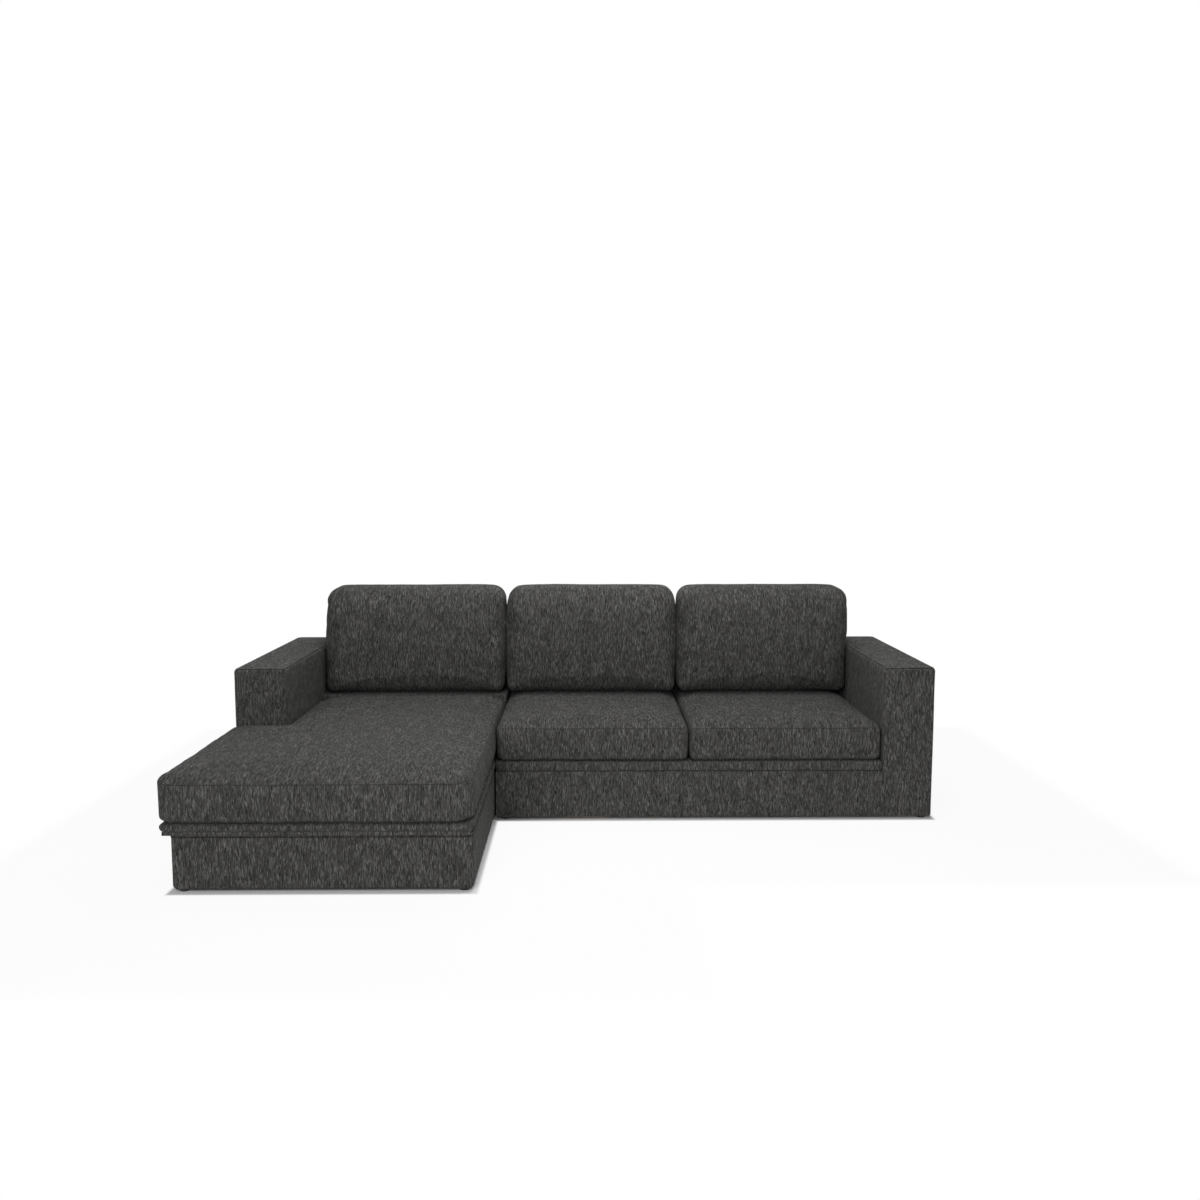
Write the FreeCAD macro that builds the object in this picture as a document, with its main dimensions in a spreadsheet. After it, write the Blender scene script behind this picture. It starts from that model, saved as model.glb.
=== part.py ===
import FreeCAD, Part
import os

import Sketcher

# Sectional sofa with a storage chaise on its left, in millimetres.
# The frame's origin is on the floor under the middle of the sofa's box. +X runs to the
# right along the width, +Y to the back and +Z up.

DRIVING_SIZES = {
    # Main sizes
    "overall_width": 2800,
    "sofa_depth": 930,
    "chaise_reach": 790,
    "chaise_width": 1036,
    "arm_width": 205,
    "arm_height": 620,
    "base_height": 201,
    "deck_height": 240,
    "seat_height": 402,
    "back_height": 897,
    "back_frame_depth": 140,
    "back_frame_height": 745,
    # Wood, padding and clearances
    "board_thickness": 18,
    "rail_thickness": 28,
    "cover_thickness": 8,
    "top_padding": 12,
    "foot_height": 10,
    "foot_radius": 18,
    "foot_inset": 34,
    "module_gap": 1,
    "cushion_gap": 1,
    "rest_gap": 0.3,
    # Chaise box and lid
    "box_left_inset": 31,
    "box_front_inset": 30,
    "box_right_inset": 6,
    "box_corner_radius": 24,
    "box_bottom_radius": 16,
    "box_floor_thickness": 5,
    "box_floor_drop": 4,
    "lid_left_inset": 3,
    "lid_front_inset": 5,
    "lid_length": 572,
    "lid_board_thickness": 12,
    "lid_board_inset": 12,
    "lid_nose_radius": 11,
    "lid_gap": 4,
    "lid_arm_gap": 2,
    "ledge_thickness": 24,
    # Cushions
    "back_cushion_front": 580,
    "back_cushion_lean": 52,
    "back_cushion_split": 1030,
    "back_top_radius": 60,
    "back_corner_radius": 28,
    "cushion_edge_radius": 18,
    "chaise_corner_radius": 30,
    "arm_edge_radius": 12,
    "cushion_skin": 6,
    # Seat springs
    "spring_pairs": 9,
    "spring_count": 7,
    "spring_bar": 24,
    "wire_size": 3.2,
    "clip_sheet": 1.2,
    "clip_width": 30,
    "block_leg": 90,
    # Lid lifting linkage
    "main_pivot_back": 160,
    "main_pivot_height": 65,
    "main_link_run": 320,
    "main_link_rise": 120,
    "second_pivot_back": 88.4,
    "second_pivot_height": 59.1,
    "second_link_run": 351.6,
    "second_link_rise": 120.9,
    "strut_pivot_back": 192,
    "strut_pivot_height": 56,
    "strut_stud_reach": 193.7,
    "bracket_sheet": 3,
    "link_thickness": 5,
    "second_link_thickness": 4,
    "link_half_width": 13,
    "pin_radius": 4,
    "pin_clearance": 0.05,
    "sheet_gap": 0.4,
    "strut_plane": 18,
    "lid_bracket_plane": 28.5,
    "open_pivot_clearance": 2.7,
    "strut_pivot_clearance": 3.7,
    "strut_eye_radius": 9,
    "strut_eye_thickness": 5,
    "strut_stud_radius": 3,
    "strut_tube_radius": 8,
    "strut_bore_radius": 5.5,
    "strut_rod_radius": 3,
    "strut_tube_length": 118,
    "strut_gland_length": 6,
    "strut_stroke": 30.2,
    "flange_width": 30,
    "connector_width": 90,
    "connector_height": 60,
    "connector_bottom": 70,
}

document = FreeCAD.newDocument("sectional_sofa")
sheet = document.addObject("Spreadsheet::Sheet", "Sizes")
exported = []


class Size:
    """A length that knows its number now and the sheet expression that it comes from."""

    def __init__(self, value, text):
        self.value = value
        self.text = text

    def join(self, other, sign, value):
        return Size(value, f"({self.text} {sign} {as_size(other).text})")

    def __add__(self, other):
        return self.join(other, "+", self.value + as_size(other).value)

    def __sub__(self, other):
        return self.join(other, "-", self.value - as_size(other).value)

    def __mul__(self, other):
        return self.join(other, "*", self.value * as_size(other).value)

    def __truediv__(self, other):
        return self.join(other, "/", self.value / as_size(other).value)

    def __neg__(self):
        return Size(-self.value, f"(0 - {self.text})")


def as_size(number):
    if isinstance(number, Size):
        return number
    return Size(number, str(number))


def length_of(run, rise):
    """The straight distance over a run and a rise."""
    number = (run.value**2 + rise.value**2) ** 0.5
    return Size(number, f"sqrt({run.text} * {run.text} + {rise.text} * {rise.text})")


for row, (alias, number) in enumerate(DRIVING_SIZES.items(), start=1):
    sheet.set(f"A{row}", alias)
    sheet.set(f"B{row}", str(number))
    sheet.setAlias(f"B{row}", alias)
document.recompute()


def size(alias):
    return Size(float(sheet.get(alias)), f"Sizes.{alias}")


# Places worked out from the driving sizes

arm_width = size("arm_width")
arm_height = size("arm_height")
cover = size("cover_thickness")
board = size("board_thickness")
rail = size("rail_thickness")
rest_gap = size("rest_gap")
floor_gap = size("foot_height")
base_top = size("base_height")
deck_top = size("deck_height")
seat_top = size("seat_height")
back_top = size("back_height")

left = -size("overall_width") / 2
right = size("overall_width") / 2
front = (size("chaise_reach") - size("sofa_depth")) / 2
rear = front + size("sofa_depth")
left_arm_inner = left + arm_width
right_arm_inner = right - arm_width
chaise_right = left + size("chaise_width")
seat_left = chaise_right + size("module_gap")
back_face = rear - size("back_frame_depth")
back_frame_top = size("back_frame_height")
rail_top = base_top - size("wire_size") - size("clip_sheet") * 2 - 0.4

box_left = left + size("box_left_inset")
box_front = front - size("chaise_reach") + size("box_front_inset")
box_right = chaise_right - size("box_right_inset")
box_rear = front + size("lid_length") + size("lid_gap")
box_inner_left = left_arm_inner + board
box_inner_right = box_right - cover - board
box_floor_top = floor_gap + size("box_floor_drop") + size("box_floor_thickness")
box_middle = (box_inner_left + box_inner_right) / 2

lid_front = front - size("chaise_reach") + size("lid_front_inset")
lid_rear = front + size("lid_length")
lid_bottom = base_top + rest_gap
lid_board_top = lid_bottom + size("lid_board_thickness")
wing_rear = front - size("lid_gap")
wing_right = left_arm_inner + size("lid_arm_gap")

AXES = {"x": FreeCAD.Vector(1, 0, 0), "y": FreeCAD.Vector(0, 1, 0), "z": FreeCAD.Vector(0, 0, 1)}


# Building helpers

def bind(item, name, length):
    item.setExpression(name, as_size(length).text)


def new_body(name):
    body = document.addObject("PartDesign::Body", name)
    body.Label = name
    return body


def new_sketch(body, role, level, name):
    """A sketch on one of the body's own planes, moved along that plane's normal."""
    sketch = body.newObject("Sketcher::SketchObject", name)
    plane = next(item for item in body.Origin.OriginFeatures if item.Role == role)
    sketch.AttachmentSupport = (plane, [""])
    sketch.MapMode = "FlatFace"
    bind(sketch, "AttachmentOffset.Base.z", level)
    return sketch


def dimension(sketch, kind, *geometry, length):
    index = sketch.addConstraint(Sketcher.Constraint(kind, *geometry, as_size(length).value))
    sketch.setExpression(f"Constraints[{index}]", as_size(length).text)


def place_point(sketch, line, end, point):
    """Tie one end of a line, or a circle's middle, to its distances from the origin."""
    dimension(sketch, "DistanceX", -1, 1, line, end, length=point[0])
    dimension(sketch, "DistanceY", -1, 1, line, end, length=point[1])


def draw_outline(sketch, points):
    """A closed outline of straight lines through the given points."""
    start = sketch.GeometryCount
    count = len(points)
    places = [FreeCAD.Vector(as_size(u).value, as_size(v).value, 0) for u, v in points]
    for index in range(count):
        sketch.addGeometry(Part.LineSegment(places[index], places[(index + 1) % count]), False)
    for index in range(count):
        following = start + (index + 1) % count
        sketch.addConstraint(Sketcher.Constraint("Coincident", start + index, 2, following, 1))
    for index, point in enumerate(points):
        place_point(sketch, start + index, 1, point)


def draw_circle(sketch, middle, radius):
    index = sketch.GeometryCount
    place = FreeCAD.Vector(as_size(middle[0]).value, as_size(middle[1]).value, 0)
    sketch.addGeometry(Part.Circle(place, AXES["z"], as_size(radius).value), False)
    dimension(sketch, "Radius", index, length=radius)
    place_point(sketch, index, 3, middle)


def add_slab(body, role, draw, start, end):
    """Pad a sketch between two levels across its plane."""
    turned = role == "XZ_Plane"
    level = -as_size(end) if turned else start
    name = f"{body.Name}_slab{len(body.Group)}"
    sketch = new_sketch(body, role, level, f"{name}_sketch")
    draw(sketch)
    pad = body.newObject("PartDesign::Pad", name)
    pad.Profile = sketch
    bind(pad, "Length", as_size(end) - start)
    document.recompute()
    return pad


def cut_slab(body, role, draw, start, end):
    """Pocket a sketch between two levels across its plane."""
    turned = role == "XZ_Plane"
    level = -as_size(start) if turned else end
    name = f"{body.Name}_cut{len(body.Group)}"
    sketch = new_sketch(body, role, level, f"{name}_sketch")
    draw(sketch)
    before = body.Tip.Shape.Volume
    pocket = body.newObject("PartDesign::Pocket", name)
    pocket.Profile = sketch
    bind(pocket, "Length", as_size(end) - start)
    document.recompute()
    if pocket.Shape.Volume >= before:
        raise RuntimeError(f"{name} takes nothing away")
    return pocket


def straight_edges(shape, along, **sides):
    """Names of the straight edges along an axis that lie at the named sides of the shape."""
    box = shape.BoundBox
    limits = {
        "x": {"low": box.XMin, "high": box.XMax},
        "y": {"low": box.YMin, "high": box.YMax},
        "z": {"low": box.ZMin, "high": box.ZMax},
    }
    names = []
    for index, edge in enumerate(shape.Edges, start=1):
        if edge.Curve.TypeId != "Part::GeomLine":
            continue
        if abs(edge.Curve.Direction.dot(AXES[along])) < 0.99:
            continue
        middle = edge.CenterOfMass
        if all(abs(getattr(middle, axis) - limits[axis][side]) < 0.1 for axis, side in sides.items()):
            names.append(f"Edge{index}")
    return names


def round_edges(body, radius, along, **sides):
    tip = body.Tip
    names = straight_edges(tip.Shape, along, **sides)
    if not names:
        raise RuntimeError(f"{body.Name} has no edge to round along {along} at {sides}")
    fillet = body.newObject("PartDesign::Fillet", f"{body.Name}_round{len(body.Group)}")
    fillet.Base = (tip, names)
    bind(fillet, "Radius", radius)
    document.recompute()
    return fillet


def rectangle(u, v):
    return [(u[0], v[0]), (u[1], v[0]), (u[1], v[1]), (u[0], v[1])]


def block(name, x, y, z):
    """A board, rail or pad with square edges."""
    body = new_body(name)
    add_slab(body, "XY_Plane", lambda sketch: draw_outline(sketch, rectangle(x, y)), z[0], z[1])
    return body


def plate(name, role, points, start, end):
    """A flat piece of any straight-sided outline."""
    body = new_body(name)
    add_slab(body, role, lambda sketch: draw_outline(sketch, points), start, end)
    return body


def group(name, members):
    """One node that holds several pieces of the same kind."""
    compound = document.addObject("Part::Compound", name)
    compound.Label = name
    compound.Links = members
    document.recompute()
    return compound


def mirrored(source, middle):
    """The same piece on the other side of an upright plane across the width."""
    twin = document.addObject("Part::Mirroring", f"{source.Name}_twin")
    twin.Source = source
    twin.Normal = AXES["x"]
    bind(twin, "Base.x", middle)
    document.recompute()
    return twin


def pin_along_x(name, start, end, radius, back, height):
    """A round pin across the sofa's width."""
    pin = document.addObject("Part::Cylinder", name)
    pin.Placement = FreeCAD.Placement(FreeCAD.Vector(), FreeCAD.Rotation(AXES["y"], 90))
    bind(pin, "Radius", radius)
    bind(pin, "Height", as_size(end) - start)
    bind(pin, "Placement.Base.x", start)
    bind(pin, "Placement.Base.y", back)
    bind(pin, "Placement.Base.z", height)
    document.recompute()
    return pin


def finish_node(item):
    exported.append(item)
    return item


# Arms

def make_arm(side, outer, inner, inward):
    """Frame boards and padded side and top covers of one arm. inward is 1 on the left arm."""
    def across(start, end):
        first = outer + as_size(start) * inward
        second = outer + as_size(end) * inward
        return (first, second) if inward > 0 else (second, first)

    frame_x = across(cover, arm_width - cover)
    board_top = arm_height - size("top_padding") - board
    frame_front = front + cover
    frame_rear = rear - cover
    front_board = block(
        f"{side}_arm_front_board", frame_x, (frame_front, frame_front + board), (floor_gap, board_top)
    )
    rear_board = block(
        f"{side}_arm_rear_board", frame_x, (frame_rear - board, frame_rear), (floor_gap, board_top)
    )
    finish_node(group(f"{side}_arm_end_boards", [front_board, rear_board]))
    finish_node(block(
        f"{side}_arm_top_board", frame_x, (frame_front, frame_rear), (board_top, board_top + board)
    ))
    side_top = board_top + board
    for face, span in (("outer", across(0, cover)), ("inner", across(arm_width - cover, arm_width))):
        panel = block(
            f"{side}_arm_{face}_cover", span, (frame_front, frame_rear), (floor_gap, side_top)
        )
        finish_node(panel)
    top = block(f"{side}_arm_top_cover", across(0, arm_width), (front, rear), (side_top, arm_height))
    round_edges(top, size("arm_edge_radius") * 0.8, "y", z="high")
    round_edges(top, size("arm_edge_radius") * 0.8, "x", y="low", z="high")
    finish_node(top)


make_arm("left", left, left_arm_inner, 1)
make_arm("right", right, right_arm_inner, -1)

arm_cover_top = arm_height - size("top_padding")
left_arm_front = block(
    "left_arm_front_cover", (left, left_arm_inner), (front, front + cover), (floor_gap, arm_cover_top)
)
finish_node(left_arm_front)

# The right arm's front and the front rail share one flat cover with no seam between them.
loveseat_front = plate(
    "loveseat_front_cover",
    "XZ_Plane",
    [
        (seat_left, floor_gap),
        (right, floor_gap),
        (right, arm_cover_top),
        (right_arm_inner, arm_cover_top),
        (right_arm_inner, base_top),
        (seat_left, base_top),
    ],
    front,
    front + cover,
)
finish_node(loveseat_front)


# Back frames

def make_back(module, start, end, rear_outline):
    """Posts, top rail, folded front and top cover, and rear cover of one module's back."""
    frame_y = (back_face + cover, rear - cover)
    rail_bottom = back_frame_top - cover - board
    posts = [
        block(f"{module}_back_post_{place}", span, frame_y, (floor_gap, rail_bottom))
        for place, span in (("left", (start, start + board)), ("right", (end - board, end)))
    ]
    finish_node(group(f"{module}_back_posts", posts))
    finish_node(block(
        f"{module}_back_top_rail", (start, end), frame_y, (rail_bottom, rail_bottom + board)
    ))
    folded = plate(
        f"{module}_back_cover",
        "YZ_Plane",
        [
            (back_face, deck_top),
            (back_face + cover, deck_top),
            (back_face + cover, back_frame_top - cover),
            (rear - cover, back_frame_top - cover),
            (rear - cover, back_frame_top),
            (back_face, back_frame_top),
        ],
        start,
        end,
    )
    round_edges(folded, cover * 0.9, "x", y="low", z="high")
    finish_node(folded)
    rear_cover = plate(f"{module}_rear_cover", "XZ_Plane", rear_outline, rear - cover, rear)
    round_edges(rear_cover, cover * 0.9, "x", y="high", z="high")
    finish_node(rear_cover)


make_back(
    "chaise",
    left_arm_inner,
    chaise_right,
    [
        (left, floor_gap),
        (chaise_right, floor_gap),
        (chaise_right, back_frame_top),
        (left_arm_inner, back_frame_top),
        (left_arm_inner, arm_cover_top),
        (left, arm_cover_top),
    ],
)
make_back(
    "loveseat",
    seat_left,
    right_arm_inner,
    [
        (seat_left, floor_gap),
        (right, floor_gap),
        (right, arm_cover_top),
        (right_arm_inner, arm_cover_top),
        (right_arm_inner, back_frame_top),
        (seat_left, back_frame_top),
    ],
)

# Chaise storage box

panel_z = (floor_gap, base_top)
box_front_panel = block(
    "box_front_panel",
    (box_left + cover, box_right - cover),
    (box_front + cover, box_front + cover + board),
    panel_z,
)
board_corner = size("box_corner_radius") - cover
board_bottom = size("box_bottom_radius") - cover
round_edges(box_front_panel, board_corner, "z", y="low")
round_edges(box_front_panel, board_bottom, "x", y="low", z="low")
finish_node(box_front_panel)
panel_start = box_front + cover + board
box_left_panel = block(
    "box_left_panel", (box_left + cover, box_left + cover + board), (panel_start, front - board), panel_z
)
round_edges(box_left_panel, board_bottom, "y", x="low", z="low")
finish_node(box_left_panel)
box_return_panel = block(
    "box_return_panel", (box_left + cover, box_inner_left), (front - board, front), panel_z
)
round_edges(box_return_panel, board_bottom, "y", x="low", z="low")
finish_node(box_return_panel)
finish_node(block("box_arm_side_panel", (left_arm_inner, box_inner_left), (front, box_rear), panel_z))
box_right_panel = block(
    "box_right_panel", (box_inner_right, box_right - cover), (panel_start, box_rear), panel_z
)
round_edges(box_right_panel, board_bottom, "y", x="high", z="low")
finish_node(box_right_panel)
ledge_bottom = seat_top - size("ledge_thickness")
finish_node(block(
    "box_rear_panel", (left_arm_inner, box_right - cover), (box_rear, box_rear + board),
    (floor_gap, ledge_bottom),
))
finish_node(block(
    "chaise_rear_ledge", (left_arm_inner, chaise_right), (box_rear, back_face), (ledge_bottom, seat_top)
))
box_floor = plate(
    "box_floor",
    "XY_Plane",
    [
        (box_left + cover + board, panel_start),
        (box_inner_right, panel_start),
        (box_inner_right, box_rear),
        (box_inner_left, box_rear),
        (box_inner_left, front - board),
        (box_left + cover + board, front - board),
    ],
    box_floor_top - size("box_floor_thickness"),
    box_floor_top,
)
finish_node(box_floor)

# The cover wraps the box's left, front and right sides in one piece, rounded at its corners
# and under its lower edge. It is cut from a thicker form by the room that the boards take.
wrap = cover + board
box_wrapping = plate(
    "box_wrapping",
    "XY_Plane",
    [
        (box_left, box_front),
        (box_right, box_front),
        (box_right, box_rear),
        (box_right - wrap, box_rear),
        (box_right - wrap, box_front + wrap),
        (box_left + wrap, box_front + wrap),
        (box_left + wrap, front),
        (box_left, front),
    ],
    floor_gap,
    base_top,
)
round_edges(box_wrapping, size("box_corner_radius"), "z", y="low")
round_edges(box_wrapping, size("box_bottom_radius"), "x", y="low", z="low")
board_room = block(
    "board_room", (box_left + cover, box_right - cover), (box_front + cover, box_rear), panel_z
)
round_edges(board_room, board_corner, "z", y="low")
box_cover = document.addObject("Part::Cut", "box_cover")
box_cover.Label = "box_cover"
box_cover.Base = box_wrapping
box_cover.Tool = board_room
document.recompute()
finish_node(box_cover)


# Lid and chaise cushion, both L-shaped to pass in front of the arm

def chaise_outline(start_left, start_front, end_right, end_rear, inset=0):
    return [
        (start_left + inset, start_front + inset),
        (end_right - inset, start_front + inset),
        (end_right - inset, end_rear - inset),
        (wing_right + inset, end_rear - inset),
        (wing_right + inset, wing_rear - inset),
        (start_left + inset, wing_rear - inset),
    ]


lid_left = left + size("lid_left_inset")
lid_board = plate(
    "lid_board",
    "XY_Plane",
    chaise_outline(lid_left, lid_front, chaise_right, lid_rear, size("lid_board_inset")),
    lid_bottom,
    lid_board_top,
)
finish_node(lid_board)
lid_cover = plate(
    "lid_cover",
    "XY_Plane",
    chaise_outline(lid_left, lid_front, chaise_right, lid_rear),
    lid_board_top,
    deck_top,
)
round_edges(lid_cover, size("cushion_edge_radius"), "z", x="low", y="low")
round_edges(lid_cover, size("cushion_edge_radius"), "z", x="high", y="low")
for level in ("high", "low"):
    round_edges(lid_cover, size("lid_nose_radius"), "x", y="low", z=level)
finish_node(lid_cover)

cushion_bottom = deck_top + rest_gap
skin = size("cushion_skin")
cushion_front = front - size("chaise_reach")


def filled_cushion(name, filling, outer, inner):
    """A closed cushion cover with a cavity, and the filling that lies in it."""
    shell = document.addObject("Part::Cut", f"{name}_cover")
    shell.Label = f"{name}_cover"
    shell.Base = outer
    shell.Tool = inner
    document.recompute()
    finish_node(shell)
    return finish_node(filling)


def cushion_body(name, role, points, start, end, rounding):
    body = plate(name, role, points, start, end)
    for radius, along, sides in rounding:
        round_edges(body, radius, along, **sides)
    return body


def make_cushion(name, role, points_at, span, rounding, filling_name):
    """points_at(inset) gives the outline; the cavity and the filling lie inside the skin."""
    outer = cushion_body(f"{name}_outer", role, points_at(as_size(0)), span[0], span[1], rounding)
    inner = plate(f"{name}_cavity", role, points_at(skin), span[0] + skin, span[1] - skin)
    inset = skin + rest_gap
    filling = plate(
        f"{name}_{filling_name}", role, points_at(inset), span[0] + inset, span[1] - inset
    )
    filled_cushion(name, filling, outer, inner)


edge = size("cushion_edge_radius")
make_cushion(
    "chaise_cushion",
    "XY_Plane",
    lambda inset: chaise_outline(left, cushion_front, chaise_right, lid_rear, inset),
    (cushion_bottom, seat_top),
    [
        (size("chaise_corner_radius"), "z", {"x": "low", "y": "low"}),
        (size("chaise_corner_radius") * 0.5, "z", {"x": "high", "y": "low"}),
    ],
    "foam",
)

gap = size("cushion_gap")
seat_middle = (seat_left + right_arm_inner) / 2
seat_spans = {
    "left_seat_cushion": (seat_left + gap / 2, seat_middle - gap / 2),
    "right_seat_cushion": (seat_middle + gap / 2, right_arm_inner - gap / 2),
}
for name, span in seat_spans.items():
    make_cushion(
        name,
        "XY_Plane",
        lambda inset, span=span: rectangle(
            (span[0] + inset, span[1] - inset), (front + inset, back_face - gap - inset)
        ),
        (cushion_bottom, seat_top),
        [(edge * 0.7, "z", {"y": "low"})],
        "foam",
    )

back_bottom = seat_top + rest_gap
back_front = front + size("back_cushion_front")
back_rear = back_face - gap / 2
back_split = left + size("back_cushion_split")
back_middle = (back_split + right_arm_inner) / 2
back_spans = {
    "left_back_cushion": (left_arm_inner + gap, back_split - gap / 2),
    "middle_back_cushion": (back_split + gap / 2, back_middle - gap / 2),
    "right_back_cushion": (back_middle + gap / 2, right_arm_inner - gap),
}


def back_profile(inset):
    """Side view of a back cushion: upright behind, leaning back in front."""
    return [
        (back_front + inset * 1.2, back_bottom + inset),
        (back_rear - inset, back_bottom + inset),
        (back_rear - inset, back_top - inset),
        (back_front + size("back_cushion_lean") + inset, back_top - inset),
    ]


for name, span in back_spans.items():
    cushion = plate(f"{name}_outer", "YZ_Plane", back_profile(as_size(0)), span[0], span[1])
    round_edges(cushion, size("back_top_radius"), "y", z="high")
    round_edges(cushion, size("back_corner_radius"), "y", z="low")
    cavity_inset = size("back_top_radius") * 0.4
    cavity = plate(
        f"{name}_cavity", "YZ_Plane", back_profile(cavity_inset),
        span[0] + cavity_inset, span[1] - cavity_inset,
    )
    fill_inset = cavity_inset + rest_gap
    filling = plate(
        f"{name}_fibre", "YZ_Plane", back_profile(fill_inset), span[0] + fill_inset, span[1] - fill_inset
    )
    filled_cushion(name, filling, cushion, cavity)

# Seat base with sinuous springs

seat_rails_x = (seat_left, right_arm_inner)
rail_z = (floor_gap, rail_top)
front_rail_y = (front + cover, front + cover + rail)
rear_rail_y = (back_face - rail, back_face)
finish_node(block("seat_front_rail", seat_rails_x, front_rail_y, rail_z))
finish_node(block("seat_rear_rail", seat_rails_x, rear_rail_y, rail_z))
side_y = (front_rail_y[1], rear_rail_y[0])
side_rails = [
    block("seat_side_rail_left", (seat_left, seat_left + rail), side_y, rail_z),
    block("seat_side_rail_right", (right_arm_inner - rail, right_arm_inner), side_y, rail_z),
]
finish_node(group("seat_side_rails", side_rails))
finish_node(block("seat_deck_pad", seat_rails_x, (front, back_face), (base_top, deck_top)))
round_edges(document.getObject("seat_deck_pad"), size("cover_thickness") * 0.5, "x", y="low", z="high")

block_leg = size("block_leg")
corner_blocks = []
corners = {
    "front_left": (seat_left + rail, side_y[0], 1, 1),
    "front_right": (right_arm_inner - rail, side_y[0], -1, 1),
    "rear_left": (seat_left + rail, side_y[1], 1, -1),
    "rear_right": (right_arm_inner - rail, side_y[1], -1, -1),
}
block_top = rail_top - rail
for place, (x, y, along_x, along_y) in corners.items():
    triangle = [(x, y), (x + block_leg * along_x, y), (x, y + block_leg * along_y)]
    corner_blocks.append(plate(f"corner_block_{place}", "XY_Plane", triangle, block_top - rail, block_top))
finish_node(group("corner_blocks", corner_blocks))

wire = size("wire_size")
clip_sheet = size("clip_sheet")
spring_level = rail_top + clip_sheet + wire / 2 + 0.1
spring_front = front_rail_y[1] - rail / 2
spring_rear = rear_rail_y[0] + rail / 2
pairs = int(size("spring_pairs").value)
pitch = (spring_rear - spring_front) / (pairs * 2)
half_bar = size("spring_bar") / 2
count = int(size("spring_count").value)
spring_step = (right_arm_inner - seat_left) / (count + 1)
first_spring = seat_left + spring_step


def arc_ends(sketch, arc):
    """The numbers of an arc's lower and upper ends, because a mirrored arc swaps them."""
    drawn = sketch.Geometry[arc]
    return (1, 2) if drawn.StartPoint.y < drawn.EndPoint.y else (2, 1)


def draw_half_ring(sketch, middle, side):
    """Half a turn of flat wire about a middle point, bulging to one side."""
    centre = FreeCAD.Vector(middle[0].value, middle[1].value, 0)
    for radius in (pitch / 2 + wire / 2, pitch / 2 - wire / 2):
        reach = FreeCAD.Vector(0, radius.value, 0)
        bulge = FreeCAD.Vector(radius.value * side, 0, 0)
        index = sketch.GeometryCount
        sketch.addGeometry(Part.Arc(centre - reach, centre + bulge, centre + reach), False)
        place_point(sketch, index, 3, middle)
        dimension(sketch, "Radius", index, length=radius)
        for end in (1, 2):
            sketch.addConstraint(Sketcher.Constraint("Vertical", index, end, index, 3))
    outer_ends = arc_ends(sketch, 0)
    inner_ends = arc_ends(sketch, 1)
    for outer_end, inner_end in zip(outer_ends, inner_ends):
        outer = sketch.Geometry[0].StartPoint if outer_end == 1 else sketch.Geometry[0].EndPoint
        inner = sketch.Geometry[1].StartPoint if inner_end == 1 else sketch.Geometry[1].EndPoint
        line = sketch.GeometryCount
        sketch.addGeometry(Part.LineSegment(outer, inner), False)
        sketch.addConstraint(Sketcher.Constraint("Coincident", line, 1, 0, outer_end))
        sketch.addConstraint(Sketcher.Constraint("Coincident", line, 2, 1, inner_end))


def add_spring_bar(body, y):
    outline = rectangle((first_spring - half_bar, first_spring + half_bar), (y - wire / 2, y + wire / 2))
    return add_slab(
        body, "XY_Plane", lambda sketch: draw_outline(sketch, outline),
        spring_level - wire / 2, spring_level + wire / 2,
    )


def add_spring_turn(body, side, y):
    middle = (first_spring + half_bar * side, y + pitch / 2)
    return add_slab(
        body, "XY_Plane", lambda sketch: draw_half_ring(sketch, middle, side),
        spring_level - wire / 2, spring_level + wire / 2,
    )


# One repeat of the zigzag is two bars and two half turns.
spring = new_body("seat_spring")
one_repeat = [
    add_spring_bar(spring, spring_front),
    add_spring_turn(spring, 1, spring_front),
    add_spring_bar(spring, spring_front + pitch),
    add_spring_turn(spring, -1, spring_front + pitch),
]
along_y = next(item for item in spring.Origin.OriginFeatures if item.Role == "Y_Axis")
repeats = spring.newObject("PartDesign::LinearPattern", "spring_length")
repeats.Originals = one_repeat
repeats.Direction = (along_y, [""])
repeats.Mode = "Spacing"
bind(repeats, "Offset", pitch * 2)
repeats.setExpression("Occurrences", "Sizes.spring_pairs")
spring.Tip = repeats
document.recompute()
add_spring_bar(spring, spring_rear)


def repeated(name, source, steps, step):
    """Copies of a piece in a row along the width."""
    members = [source]
    for index in range(1, steps):
        copy = document.addObject("App::Link", f"{source.Name}_{index + 1}")
        copy.LinkedObject = source
        bind(copy, "Placement.Base.x", step * index)
        members.append(copy)
    return group(name, members)


finish_node(repeated("seat_springs", spring, count, spring_step))


def make_clip(name, bar_y, closed_side):
    """A bent strip that holds a spring's end bar on the rail. closed_side is -1 at the front."""
    half_reach = wire / 2 + 0.1
    closed = bar_y + half_reach * closed_side
    outside = closed + clip_sheet * closed_side
    mouth = bar_y - wire * closed_side
    low = rail_top
    high = rail_top + clip_sheet * 2 + wire + 0.2
    outline = [
        (mouth, low),
        (outside, low),
        (outside, high),
        (mouth, high),
        (mouth, high - clip_sheet),
        (closed, high - clip_sheet),
        (closed, low + clip_sheet),
        (mouth, low + clip_sheet),
    ]
    half_width = size("clip_width") / 2
    return plate(name, "YZ_Plane", outline, first_spring - half_width, first_spring + half_width)


clip_pair = group("spring_clip_pair", [
    make_clip("front_clip", spring_front, -1),
    make_clip("rear_clip", spring_rear, 1),
])
finish_node(repeated("spring_clips", clip_pair, count, spring_step))

# Dust cover tucked between the rails' lower edges
finish_node(block(
    "dust_cover", (seat_left + rail, right_arm_inner - rail), side_y, (floor_gap, floor_gap + 1)
))

# Lid lifting linkage, drawn for the arm side and mirrored to the right side

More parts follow.
